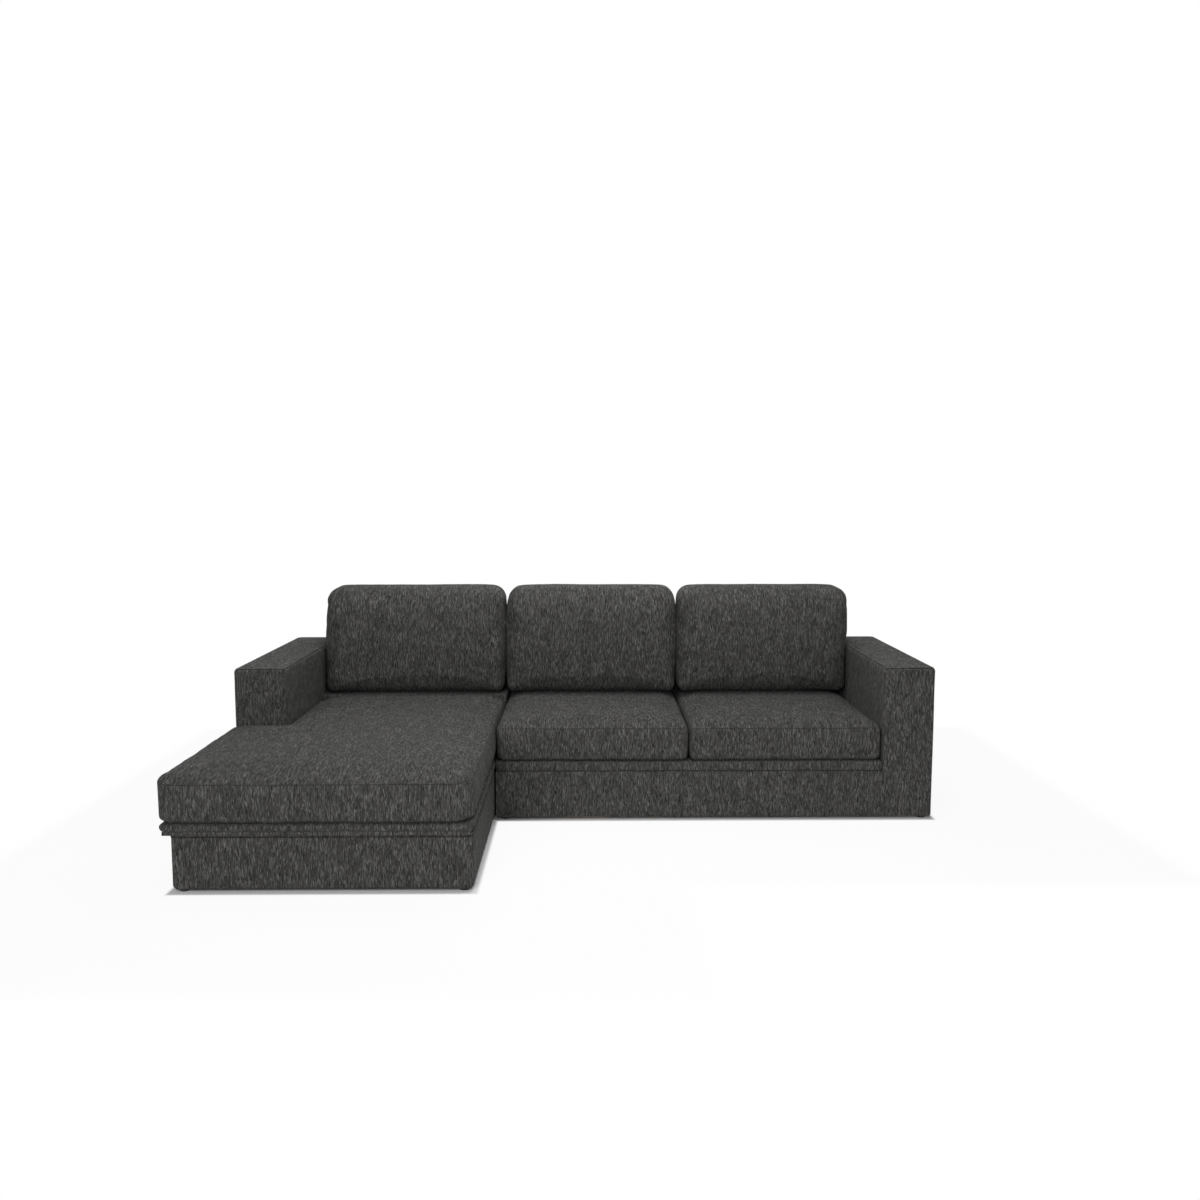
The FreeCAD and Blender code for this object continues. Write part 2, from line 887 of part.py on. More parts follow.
main_y = front + size("main_pivot_back")
main_z = size("main_pivot_height")
run = size("main_link_run")
rise = size("main_link_rise")
second_y = front + size("second_pivot_back")
second_z = size("second_pivot_height")
second_run = size("second_link_run")
second_rise = size("second_link_rise")
strut_y = front + size("strut_pivot_back")
strut_z = size("strut_pivot_height")
share = size("strut_stud_reach") / length_of(run, rise)
stud_y = main_y + run * share
stud_z = main_z + rise * share
bracket_sheet = size("bracket_sheet")
half_width = size("link_half_width")
pin_radius = size("pin_radius")
hole_radius = pin_radius + size("pin_clearance")
main_plane = box_inner_left + bracket_sheet + size("sheet_gap")
main_inside = main_plane + size("link_thickness")
lid_plane = box_inner_left + size("lid_bracket_plane")
second_plane = lid_plane + bracket_sheet + size("sheet_gap")
second_inside = second_plane + size("second_link_thickness")
strut_middle = box_inner_left + size("strut_plane")


def draw_link(sketch, base, tip_run, tip_rise, radius):
    """A flat bar with round ends about its two pivots."""
    start = FreeCAD.Vector(base[0].value, base[1].value, 0)
    along = FreeCAD.Vector(tip_run.value, tip_rise.value, 0)
    end = start + along
    across = FreeCAD.Vector(-along.y, along.x, 0).normalize() * radius.value
    far = FreeCAD.Vector(along).normalize() * radius.value
    sketch.addGeometry(Part.Arc(start + across, start - far, start - across), False)
    sketch.addGeometry(Part.Arc(end - across, end + far, end + across), False)
    sketch.addGeometry(Part.LineSegment(start + across, end + across), False)
    sketch.addGeometry(Part.LineSegment(start - across, end - across), False)
    for first, first_end, second, second_end in ((0, 1, 2, 1), (0, 2, 3, 1), (1, 2, 2, 2), (1, 1, 3, 2)):
        sketch.addConstraint(Sketcher.Constraint("Tangent", first, first_end, second, second_end))
    sketch.addConstraint(Sketcher.Constraint("Equal", 0, 1))
    dimension(sketch, "Radius", 0, length=radius)
    place_point(sketch, 0, 3, base)
    place_point(sketch, 1, 3, (base[0] + tip_run, base[1] + tip_rise))


def make_link(name, plane, thickness, base, tip_run, tip_rise, tip_hole):
    body = new_body(name)
    add_slab(
        body, "YZ_Plane", lambda sketch: draw_link(sketch, base, tip_run, tip_rise, half_width),
        plane, plane + thickness,
    )

    def draw_holes(sketch):
        draw_circle(sketch, base, hole_radius)
        draw_circle(sketch, (base[0] + tip_run, base[1] + tip_rise), tip_hole)

    cut_slab(body, "YZ_Plane", draw_holes, plane, plane + thickness)
    return body


def add_round(body, middle, radius, start, end):
    add_slab(body, "YZ_Plane", lambda sketch: draw_circle(sketch, middle, radius), start, end)


main_link = make_link("main_link", main_plane, size("link_thickness"), (main_y, main_z), run, rise, hole_radius)
strut_outer = strut_middle - size("strut_eye_thickness") / 2
strut_inner = strut_middle + size("strut_eye_thickness") / 2
add_round(main_link, (stud_y, stud_z), size("strut_stud_radius"), main_inside, strut_inner)
finish_node(group("lift_main_links", [main_link, mirrored(main_link, box_middle)]))

second_link = make_link(
    "second_link", second_plane, size("second_link_thickness"), (second_y, second_z),
    second_run, second_rise, pin_radius + size("open_pivot_clearance"),
)
finish_node(group("lift_second_links", [second_link, mirrored(second_link, box_middle)]))

# The base bracket carries the two fixed pivots and the strut's lower pivot.
base_bracket = new_body("base_bracket")
bracket_margin = half_width + 5
add_slab(
    base_bracket,
    "YZ_Plane",
    lambda sketch: draw_outline(sketch, rectangle(
        (second_y - bracket_margin, strut_y + bracket_margin), (strut_z - bracket_margin, main_z + bracket_margin * 2)
    )),
    box_inner_left,
    box_inner_left + bracket_sheet,
)
bracket_inside = box_inner_left + bracket_sheet
head = pin_radius + 3
washer = size("sheet_gap")
add_round(base_bracket, (main_y, main_z), pin_radius, bracket_inside, main_inside + washer)
add_round(base_bracket, (main_y, main_z), head, main_inside + washer, main_inside + washer + 1.2)
add_round(base_bracket, (second_y, second_z), pin_radius, bracket_inside, second_inside + washer)
add_round(base_bracket, (second_y, second_z), head, second_inside + washer, second_inside + washer + 2)
add_round(base_bracket, (strut_y, strut_z), pin_radius, bracket_inside, strut_inner + washer)
add_round(base_bracket, (strut_y, strut_z), head - 1, strut_inner + washer, strut_inner + washer + 2)
finish_node(group("lift_base_brackets", [base_bracket, mirrored(base_bracket, box_middle)]))

# The lid bracket hangs from the lid board and carries the two upper pivots.
lid_bracket = new_body("lid_bracket")
upper_main = (main_y + run, main_z + rise)
upper_second = (second_y + second_run, second_z + second_rise)
add_slab(
    lid_bracket,
    "YZ_Plane",
    lambda sketch: draw_outline(sketch, [
        (upper_second[0] - bracket_margin, upper_second[1] - half_width),
        (upper_main[0] + bracket_margin, upper_second[1] - half_width),
        (upper_main[0] + bracket_margin * 2, lid_bottom),
        (upper_second[0] - bracket_margin * 2, lid_bottom),
    ]),
    lid_plane,
    lid_plane + bracket_sheet,
)
add_slab(
    lid_bracket,
    "YZ_Plane",
    lambda sketch: draw_outline(sketch, rectangle(
        (upper_second[0] - bracket_margin * 2, upper_main[0] + bracket_margin * 2),
        (lid_bottom - bracket_sheet, lid_bottom),
    )),
    lid_plane,
    lid_plane + size("flange_width"),
)
add_round(lid_bracket, upper_main, pin_radius, main_plane, lid_plane)
add_round(lid_bracket, upper_main, head, main_plane - washer - 1.2, main_plane - washer)
add_round(lid_bracket, upper_main, pin_radius, main_plane - washer, main_plane)
add_round(lid_bracket, upper_second, pin_radius, lid_plane + bracket_sheet, second_inside + washer)
finish_node(group("lift_lid_brackets", [lid_bracket, mirrored(lid_bracket, box_middle)]))


# Gas strut: a tube on the base bracket and a rod to the stud on the main link

strut_run = stud_y - strut_y
strut_rise = stud_z - strut_z
strut_length = length_of(strut_run, strut_rise)
strut_angle = f"atan({strut_rise.text} / {strut_run.text}) - 90 deg"


def lean_on_strut(body):
    """Turn a body drawn along its own Z so that it lies on the strut's line."""
    body.Placement = FreeCAD.Placement(FreeCAD.Vector(), FreeCAD.Rotation(AXES["x"], 1))
    bind(body, "Placement.Base.x", strut_middle)
    bind(body, "Placement.Base.y", strut_y)
    bind(body, "Placement.Base.z", strut_z)
    body.setExpression("Placement.Rotation.Angle", strut_angle)
    document.recompute()


def revolve(body, kind, points, name):
    sketch = new_sketch(body, "XZ_Plane", 0, f"{name}_sketch")
    draw_outline(sketch, points)
    feature = body.newObject(kind, name)
    feature.Profile = sketch
    feature.ReferenceAxis = (next(i for i in body.Origin.OriginFeatures if i.Role == "Z_Axis"), [""])
    feature.Angle = 360
    document.recompute()
    return feature


tube_radius = size("strut_tube_radius")
bore_radius = size("strut_bore_radius")
rod_radius = size("strut_rod_radius")
tube_length = size("strut_tube_length")
gland_start = tube_length - size("strut_gland_length")
half_eye = size("strut_eye_thickness") / 2
eye_radius = size("strut_eye_radius")
tube_start = eye_radius - 2
clearance = size("pin_clearance")

strut_tube = new_body("strut_tube")
revolve(strut_tube, "PartDesign::Revolution", [
    (0, tube_start), (tube_radius - 2, tube_start), (tube_radius, tube_start + 4),
    (tube_radius, tube_length), (0, tube_length),
], "tube_turned")
revolve(strut_tube, "PartDesign::Groove", [
    (0, tube_start + 12), (bore_radius, tube_start + 12), (bore_radius, gland_start),
    (rod_radius + clearance, gland_start), (rod_radius + clearance, tube_length + 1), (0, tube_length + 1),
], "tube_bored")
add_round(strut_tube, (0, 0), eye_radius, -half_eye, half_eye)
cut_slab(strut_tube, "YZ_Plane", lambda sketch: draw_circle(sketch, (0, 0), hole_radius), -half_eye, half_eye)
lean_on_strut(strut_tube)
finish_node(group("lift_strut_tubes", [strut_tube, mirrored(strut_tube, box_middle)]))

strut_rod = new_body("strut_rod")
rod_eye = size("strut_stud_radius") + size("strut_pivot_clearance") + 3
piston_start = gland_start - size("strut_stroke") - 16
revolve(strut_rod, "PartDesign::Revolution", [
    (0, piston_start), (bore_radius - clearance, piston_start), (bore_radius - clearance, piston_start + 8),
    (rod_radius, piston_start + 8), (rod_radius, strut_length - rod_eye + 1.5),
    (0, strut_length - rod_eye + 1.5),
], "rod_turned")
add_round(strut_rod, (0, strut_length), rod_eye, -half_eye, half_eye)
cut_slab(
    strut_rod, "YZ_Plane",
    lambda sketch: draw_circle(sketch, (0, strut_length), size("strut_stud_radius") + size("strut_pivot_clearance")),
    -half_eye, half_eye,
)
lean_on_strut(strut_rod)
finish_node(group("lift_strut_rods", [strut_rod, mirrored(strut_rod, box_middle)]))

# Feet stand under the frames at the corners of both modules, two of them under back posts.
foot_inset = size("foot_inset")
foot_radius = size("foot_radius")
post_inset = foot_radius + 2
foot_places = [
    (box_left + foot_inset, box_front + foot_inset),
    (box_right - foot_inset, box_front + foot_inset),
    (left + foot_inset, rear - foot_inset),
    (chaise_right - post_inset, rear - foot_inset),
    (seat_left + foot_inset, front + foot_inset),
    (right - foot_inset, front + foot_inset),
    (seat_left + post_inset, rear - foot_inset),
    (right - foot_inset, rear - foot_inset),
]
feet = []
for number, (x, y) in enumerate(foot_places, start=1):
    foot = document.addObject("Part::Cone", f"foot_{number}")
    bind(foot, "Radius1", foot_radius - 2)
    bind(foot, "Radius2", foot_radius)
    bind(foot, "Height", floor_gap)
    bind(foot, "Placement.Base.x", x)
    bind(foot, "Placement.Base.y", y)
    feet.append(foot)
finish_node(group("feet", feet))

# Interlocking plates that join the two modules: a socket plate and a hook plate in each pair
joint_middle = (box_right + seat_left) / 2
connector_bottom = size("connector_bottom")
connector_top = connector_bottom + size("connector_height")
hook_inset = size("connector_width") / 6
connectors = []
for place, y in (("front", front + 150), ("rear", front + 450)):
    connectors.append(block(
        f"connector_socket_{place}", (box_right, joint_middle), (y, y + size("connector_width")),
        (connector_bottom, connector_top),
    ))
    connectors.append(block(
        f"connector_hook_{place}", (joint_middle, seat_left),
        (y + hook_inset, y + size("connector_width") - hook_inset),
        (connector_bottom - 10, connector_top + 20),
    ))
finish_node(group("sectional_connectors", connectors))

# Checks and export

document.recompute()
for item in document.Objects:
    if "Invalid" in item.State or "Error" in item.State:
        raise RuntimeError(f"{item.Name} is in state {item.State}")
os.makedirs("parts", exist_ok=True)
for item in exported:
    if item.Shape.isNull() or not item.Shape.isValid():
        raise RuntimeError(f"{item.Label} has no valid shape")
    item.Shape.exportStep(f"parts/{item.Label}.step")
print(len(exported), "nodes")
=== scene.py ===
import math

import bmesh
import bpy
import numpy as np
from bpy.props import FloatProperty, FloatVectorProperty, IntProperty, PointerProperty
from mathutils import Matrix, Vector, kdtree, noise


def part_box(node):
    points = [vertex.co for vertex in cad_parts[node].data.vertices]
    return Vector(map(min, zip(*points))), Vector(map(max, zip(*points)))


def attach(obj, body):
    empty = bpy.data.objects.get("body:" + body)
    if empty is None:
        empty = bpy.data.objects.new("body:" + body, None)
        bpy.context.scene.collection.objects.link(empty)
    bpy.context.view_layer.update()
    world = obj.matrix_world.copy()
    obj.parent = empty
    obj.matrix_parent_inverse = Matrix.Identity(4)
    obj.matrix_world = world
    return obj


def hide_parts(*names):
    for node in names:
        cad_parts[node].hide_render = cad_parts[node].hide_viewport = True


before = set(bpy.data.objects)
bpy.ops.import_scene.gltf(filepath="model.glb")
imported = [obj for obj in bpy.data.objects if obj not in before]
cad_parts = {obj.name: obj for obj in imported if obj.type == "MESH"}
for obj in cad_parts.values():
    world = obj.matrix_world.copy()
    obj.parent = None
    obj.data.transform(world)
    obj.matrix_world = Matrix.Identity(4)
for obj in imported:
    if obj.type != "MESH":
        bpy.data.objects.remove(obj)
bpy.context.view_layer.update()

# Sectional sofa with a storage chaise on its left, in metres, in the frame of its solids.
# Run as a script. Each operator dresses one piece or one group of like pieces.

bl_info = {
    "name": "Sectional sofa with chaise",
    "version": (1, 0, 0),
    "blender": (4, 5, 0),
    "location": "View3D > Sidebar > Sofa",
    "description": "Dresses the sofa's solids with cloth, cushions, wood and steel",
    "category": "Object",
}

SIDEBAR_TAB = "Sofa"


# Sizes and colours that a user would change

def length(name, description, default):
    return FloatProperty(
        name=name, description=description, default=default, min=0.0, unit="LENGTH", precision=4
    )


def colour(name, description, default):
    return FloatVectorProperty(
        name=name, description=description, default=default, subtype="COLOR", size=3, min=0.0, max=1.0
    )


class SofaSizes(bpy.types.PropertyGroup):
    edge_radius: length("Edge radius", "Rounding of the covered edges of arms, backs and rails", 0.014)
    bottom_radius: length("Bottom radius", "Rounding of the covers' lower edges on arms and rail", 0.009)
    arm_rear_radius: length("Arm rear radius", "Rounding of each arm's upright outer rear edge", 0.026)
    box_corner_radius: length("Box corner radius", "Rounding of the chaise box's upright corners", 0.024)
    box_bottom_radius: length("Box bottom radius", "Rounding of the chaise box's lower edges", 0.016)
    cover_thickness: length("Cover thickness", "Cloth and wadding over the frame", 0.005)
    seam_depth: length("Seam depth", "How far a seam is drawn into the padding", 0.0026)
    seam_width: length("Seam width", "Half the width of the hollow along a seam", 0.005)
    cushion_grain: length("Cushion grain", "Face size of the cushion blanks before the simulation", 0.012)
    seat_swell: length("Seat swell", "How far the seat and chaise cushions may swell", 0.014)
    back_swell: length("Back swell", "How far the back cushions may swell", 0.016)
    seat_pressure: FloatProperty(
        name="Seat pressure", description="Pressure inside the seat cushions", default=4.0
    )
    back_pressure: FloatProperty(
        name="Back pressure", description="Pressure inside the back cushions", default=1.4
    )
    pucker: length("Pucker", "Height of the ripples beside the cushion seams", 0.0016)
    stitch_pitch: length("Stitch pitch", "Distance from one stitch to the next", 0.0075)
    stitch_length: length("Stitch length", "Length of one stitch", 0.0048)
    thread_radius: length("Thread radius", "Radius of the sewing thread", 0.0005)
    wire_radius: length("Wire radius", "Radius of the seat springs' wire", 0.0016)
    spring_count: IntProperty(name="Springs", description="Seat springs side by side", default=7)
    spring_turns: IntProperty(name="Turns", description="Full turns in one seat spring", default=9)


class SofaColours(bpy.types.PropertyGroup):
    dark_yarn: colour("Dark yarn", "Darkest yarn of the tweed", (0.012, 0.012, 0.0115))
    mid_yarn: colour("Mid yarn", "Main yarn of the tweed", (0.05, 0.05, 0.0485))
    light_yarn: colour("Light yarn", "Palest slubs of the tweed", (0.15, 0.148, 0.142))
    thread: colour("Thread", "Sewing thread", (0.03, 0.03, 0.029))
    board: colour("Board", "Birch plywood of the frames", (0.56, 0.41, 0.26))
    rail: colour("Rail", "Pine of the seat rails", (0.62, 0.44, 0.25))
    foam: colour("Foam", "Cushion foam", (0.80, 0.74, 0.58))
    floor: colour("Floor", "Studio floor", (0.86, 0.86, 0.86))


class StageSettings(bpy.types.PropertyGroup):
    top_lamp: FloatProperty(name="Top lamp", description="Power of the soft lamp overhead", default=50.0)
    front_lamp: FloatProperty(name="Front lamp", description="Power of the soft lamp in front", default=155.0)
    side_lamp: FloatProperty(
        name="Side lamp", description="Power of the soft lamp in front on the right", default=45.0
    )
    rear_lamp: FloatProperty(name="Rear lamp", description="Power of the soft lamp behind", default=30.0)
    sky: FloatProperty(name="Sky", description="Strength of the even light from all round", default=0.12)
    lens: FloatProperty(name="Lens", description="Focal length in millimetres", default=31.17)


# Shader building helpers

def add_node(tree, kind, **settings):
    node = tree.nodes.new(kind)
    for name, value in settings.items():
        setattr(node, name, value)
    return node


def feed(tree, target, value):
    """Give an input a fixed value or link it to an output."""
    if isinstance(value, bpy.types.NodeSocket):
        tree.links.new(value, target)
    elif target.type == "RGBA" and len(value) == 3:
        target.default_value = (*value, 1.0)
    else:
        target.default_value = value


def reckon(tree, operation, first, second=None):
    node = add_node(tree, "ShaderNodeMath", operation=operation)
    for socket, value in zip(node.inputs, (first, second)):
        if value is not None:
            feed(tree, socket, value)
    return node.outputs[0]


def times(tree, first, second):
    return reckon(tree, "MULTIPLY", first, second)


def plus(tree, first, second):
    return reckon(tree, "ADD", first, second)


def minus(tree, first, second):
    return reckon(tree, "SUBTRACT", first, second)


def stretch(tree, vector, scale):
    """The same coordinates multiplied by a scale for each axis."""
    node = add_node(tree, "ShaderNodeVectorMath", operation="MULTIPLY")
    feed(tree, node.inputs[0], vector)
    feed(tree, node.inputs[1], scale)
    return node.outputs[0]


def split_vector(tree, vector):
    node = add_node(tree, "ShaderNodeSeparateXYZ")
    feed(tree, node.inputs[0], vector)
    return node.outputs


def blend_colours(tree, factor, first, second):
    node = add_node(tree, "ShaderNodeMix", data_type="RGBA", blend_type="MIX")
    feed(tree, node.inputs["Factor"], factor)
    feed(tree, node.inputs[6], first)
    feed(tree, node.inputs[7], second)
    return node.outputs[2]


def ease(tree, value, low, high, start=0.0, end=1.0):
    """A smooth step of a value from one range to another."""
    node = add_node(tree, "ShaderNodeMapRange", interpolation_type="SMOOTHSTEP")
    for socket, number in zip(node.inputs, (value, low, high, start, end)):
        feed(tree, socket, number)
    return node.outputs[0]


def cloud(tree, vector, scale, detail=2.0, roughness=0.5):
    node = add_node(tree, "ShaderNodeTexNoise", noise_dimensions="3D")
    feed(tree, node.inputs["Vector"], vector)
    feed(tree, node.inputs["Scale"], scale)
    feed(tree, node.inputs["Detail"], detail)
    feed(tree, node.inputs["Roughness"], roughness)
    return node.outputs["Fac"]


def cells(tree, vector):
    """One random number for each cell of a loose two-way pattern."""
    node = add_node(tree, "ShaderNodeTexVoronoi", voronoi_dimensions="2D", feature="F1")
    feed(tree, node.inputs["Vector"], vector)
    feed(tree, node.inputs["Scale"], 1.0)
    split = add_node(tree, "ShaderNodeSeparateColor")
    feed(tree, split.inputs[0], node.outputs["Color"])
    return split.outputs[0]


def new_group(name, inputs, outputs, tree_kind="ShaderNodeTree"):
    """A group with named inputs and outputs. Returns the tree, what it is given and its result."""
    tree = bpy.data.node_groups.new(name, tree_kind)
    for label, kind, default in inputs:
        socket = tree.interface.new_socket(label, in_out="INPUT", socket_type=kind)
        if default is not None:
            socket.default_value = default
    for label, kind in outputs:
        tree.interface.new_socket(label, in_out="OUTPUT", socket_type=kind)
    return tree, tree.nodes.new("NodeGroupInput").outputs, tree.nodes.new("NodeGroupOutput").inputs


# Shader groups

# Width and length of one field of each tweed pattern, and the pitch of the weave's threads
SLUB = (0.0023, 0.017)
FLECK = (0.0016, 0.0085)
STREAK = (0.0034, 0.026)
PATCH = (0.045, 0.075)
TINT = (0.012, 0.05)
WARP_PITCH = 0.0021
WEFT_PITCH = 0.0019
BROWN_YARN = (0.052, 0.049, 0.044)
# Colour of the painted shade along the seams
PAINTED_SEAM_SHADE = (0.004, 0.004, 0.004)
DOT_PITCH = 0.004


def in_fields(tree, weave, field):
    """The cloth's coordinates counted in fields of a given width and length."""
    return stretch(tree, weave, (1 / field[0], 1 / field[1], 1.0))


def wave_along(tree, place, pitch):
    return reckon(tree, "SINE", times(tree, place, math.tau / pitch))


def make_tweed_group():
    """Upright slubs of three yarn shades, with a brown tint, over a fine plain weave, and painted shade along
    the seams.
    """
    tree, given, result = new_group(
        "tweed_cloth",
        [
            ("Weave", "NodeSocketVector", None),
            ("Dark yarn", "NodeSocketColor", (0.01, 0.01, 0.01, 1)),
            ("Mid yarn", "NodeSocketColor", (0.05, 0.05, 0.05, 1)),
            ("Light yarn", "NodeSocketColor", (0.15, 0.15, 0.15, 1)),
            ("Seam shade", "NodeSocketFloat", 0.0),
        ],
        [("Color", "NodeSocketColor"), ("Height", "NodeSocketFloat"), ("Roughness", "NodeSocketFloat")],
    )
    weave = given["Weave"]
    slub = cells(tree, in_fields(tree, weave, SLUB))
    fleck = cells(tree, in_fields(tree, weave, FLECK))
    streak = cloud(tree, in_fields(tree, weave, STREAK), 1.0, 3.0, 0.6)
    patch = cloud(tree, in_fields(tree, weave, PATCH), 1.0, 2.0, 0.5)
    mixed = plus(tree, times(tree, slub, 0.42), times(tree, fleck, 0.28))
    mixed = plus(tree, mixed, times(tree, streak, 0.34))
    mixed = plus(tree, mixed, times(tree, minus(tree, patch, 0.5), 0.22))
    lower = ease(tree, mixed, 0.24, 0.54)
    upper = ease(tree, mixed, 0.52, 0.84)
    shade = blend_colours(tree, lower, given["Dark yarn"], given["Mid yarn"])
    shade = blend_colours(tree, upper, shade, given["Light yarn"])
    tint = ease(tree, cloud(tree, in_fields(tree, weave, TINT), 1.0), 0.35, 0.65)
    shade = blend_colours(tree, tint, shade, blend_colours(tree, 0.4, shade, BROWN_YARN))
    # Painted shade: the cloth darkens towards near black along the seams, where the fold's shade falls
    seam = times(tree, given["Seam shade"], 0.62)
    shade = blend_colours(tree, seam, shade, PAINTED_SEAM_SHADE)
    split = split_vector(tree, weave)
    warp = wave_along(tree, split[0], WARP_PITCH)
    weft = wave_along(tree, split[1], WEFT_PITCH)
    knots = times(tree, warp, weft)
    height = plus(tree, times(tree, knots, 0.25), times(tree, mixed, 0.9))
    feed(tree, result["Color"], shade)
    feed(tree, result["Height"], height)
    feed(tree, result["Roughness"], ease(tree, mixed, 0.0, 1.0, 0.98, 0.82))
    return tree


def make_grain_group():
    """Wood grain along one axis of the piece, with fine pores."""
    tree, given, result = new_group(
        "wood_grain",
        [
            ("Place", "NodeSocketVector", None),
            ("Pale", "NodeSocketColor", (0.6, 0.45, 0.3, 1)),
            ("Deep", "NodeSocketColor", (0.4, 0.26, 0.14, 1)),
            ("Fineness", "NodeSocketFloat", 1.0),
        ],
        [("Color", "NodeSocketColor"), ("Height", "NodeSocketFloat")],
    )
    place = given["Place"]
    wander = cloud(tree, stretch(tree, place, (2.0, 9.0, 9.0)), given["Fineness"], 4.0, 0.6)
    rings = reckon(tree, "SINE", times(tree, wander, 46.0))
    pores = cloud(tree, stretch(tree, place, (30.0, 700.0, 700.0)), 1.0, 2.0, 0.6)
    grain = plus(tree, ease(tree, rings, -1.0, 1.0, 0.0, 0.7), times(tree, pores, 0.3))
    feed(tree, result["Color"], blend_colours(tree, grain, given["Pale"], given["Deep"]))
    feed(tree, result["Height"], minus(tree, 1.0, pores))
    return tree


def make_wear_group():
    """Small even unevenness for metal and plastic: scuffs and a fine orange peel."""
    tree, given, result = new_group(
        "worn_surface",
        [
            ("Place", "NodeSocketVector", None),
            ("Base", "NodeSocketColor", (0.5, 0.5, 0.5, 1)),
            ("Scuff", "NodeSocketColor", (0.6, 0.6, 0.6, 1)),
            ("Rough low", "NodeSocketFloat", 0.3),
            ("Rough high", "NodeSocketFloat", 0.5),
            ("Fineness", "NodeSocketFloat", 60.0),
        ],
        [("Color", "NodeSocketColor"), ("Roughness", "NodeSocketFloat"), ("Height", "NodeSocketFloat")],
    )
    broad = cloud(tree, given["Place"], given["Fineness"], 3.0, 0.6)
    along_grain = stretch(tree, given["Place"], (1.0, 7.0, 1.0))
    scuffs = ease(tree, cloud(tree, along_grain, 90.0, 4.0, 0.7), 0.55, 0.75)
    span = minus(tree, given["Rough high"], given["Rough low"])
    rough = plus(tree, given["Rough low"], times(tree, broad, span))
    tone = blend_colours(tree, times(tree, scuffs, 0.6), given["Base"], given["Scuff"])
    feed(tree, result["Color"], tone)
    feed(tree, result["Roughness"], rough)
    feed(tree, result["Height"], cloud(tree, given["Place"], 900.0, 2.0, 0.5))
    return tree


# Materials

def new_material(name, **fixed):
    """A material with one main shader whose even values are set straight on its sockets."""
    material = bpy.data.materials.new(name)
    material.use_nodes = True
    tree = material.node_tree
    shader = tree.nodes["Principled BSDF"]
    for label, value in fixed.items():
        shader.inputs[label.replace("_", " ")].default_value = value
    return material, tree, shader


def place_group(tree, group, **values):
    node = add_node(tree, "ShaderNodeGroup", node_tree=group)
    for label, value in values.items():
        feed(tree, node.inputs[label.replace("_", " ")], value)
    return node.outputs


def raise_surface(tree, shader, height, strength, distance):
    bump = add_node(tree, "ShaderNodeBump")
    feed(tree, bump.inputs["Strength"], strength)
    feed(tree, bump.inputs["Distance"], distance)
    feed(tree, bump.inputs["Height"], height)
    feed(tree, shader.inputs["Normal"], bump.outputs[0])


def own_place(tree):
    return add_node(tree, "ShaderNodeTexCoord").outputs["Object"]


def scaled(tone, factor):
    return [part * factor for part in tone]


# The last argument scales the yarns darker to paint shade; 1 keeps the cloth's own colour.
def make_cloth(name, group, colours, painted_shade_scale=1.0):
    material, tree, shader = new_material(name, Sheen_Weight=0.03, Sheen_Roughness=0.45, IOR=1.4)
    shader.inputs["Specular IOR Level"].default_value = 0.2
    shader.inputs["Sheen Tint"].default_value = (0.75, 0.75, 0.75, 1.0)
    weave = add_node(tree, "ShaderNodeUVMap", uv_map="weave").outputs[0]
    shade = add_node(tree, "ShaderNodeAttribute", attribute_name="seam").outputs["Fac"]
    yarns = [scaled(tone, painted_shade_scale) for tone in colours]
    made = place_group(
        tree, group, Weave=weave, Dark_yarn=yarns[0], Mid_yarn=yarns[1], Light_yarn=yarns[2],
        Seam_shade=shade,
    )
    feed(tree, shader.inputs["Base Color"], made["Color"])
    feed(tree, shader.inputs["Roughness"], made["Roughness"])
    raise_surface(tree, shader, made["Height"], 0.8, 0.0013)
    return material


def make_wood(name, group, pale, deep, fineness, turn=(0.0, 0.0, 0.0)):
    material, tree, shader = new_material(name)
    turned = add_node(tree, "ShaderNodeMapping")
    feed(tree, turned.inputs["Vector"], own_place(tree))
    feed(tree, turned.inputs["Rotation"], turn)
    made = place_group(tree, group, Place=turned.outputs[0], Pale=pale, Deep=deep, Fineness=fineness)
    feed(tree, shader.inputs["Base Color"], made["Color"])
    shader.inputs["Roughness"].default_value = 0.62
    raise_surface(tree, shader, made["Height"], 0.25, 0.0006)
    return material


def make_worn(name, group, base, scuff, rough, metallic, fineness=60.0, **fixed):
    material, tree, shader = new_material(name, Metallic=metallic, **fixed)
    made = place_group(
        tree, group, Place=own_place(tree), Base=base, Scuff=scuff,
        Rough_low=rough[0], Rough_high=rough[1], Fineness=fineness,
    )
    feed(tree, shader.inputs["Base Color"], made["Color"])
    feed(tree, shader.inputs["Roughness"], made["Roughness"])
    raise_surface(tree, shader, made["Height"], 0.15, 0.0003)
    return material


def make_porous(name, base, deep, scale, distance):
    """Foam or fibre: small pores whose low bottoms are darkened as painted shade."""
    material, tree, shader = new_material(name)
    pores = add_node(tree, "ShaderNodeTexVoronoi", feature="F1")
    feed(tree, pores.inputs["Vector"], own_place(tree))
    feed(tree, pores.inputs["Scale"], scale)
    depth = ease(tree, pores.outputs["Distance"], 0.05, 0.55)
    # Painted shade: the colour darkens where the surface is lowest, towards each cell's edge
    feed(tree, shader.inputs["Base Color"], blend_colours(tree, depth, base, deep))
    shader.inputs["Roughness"].default_value = 0.95
    raise_surface(tree, shader, minus(tree, 1.0, depth), 0.6, distance)
    return material


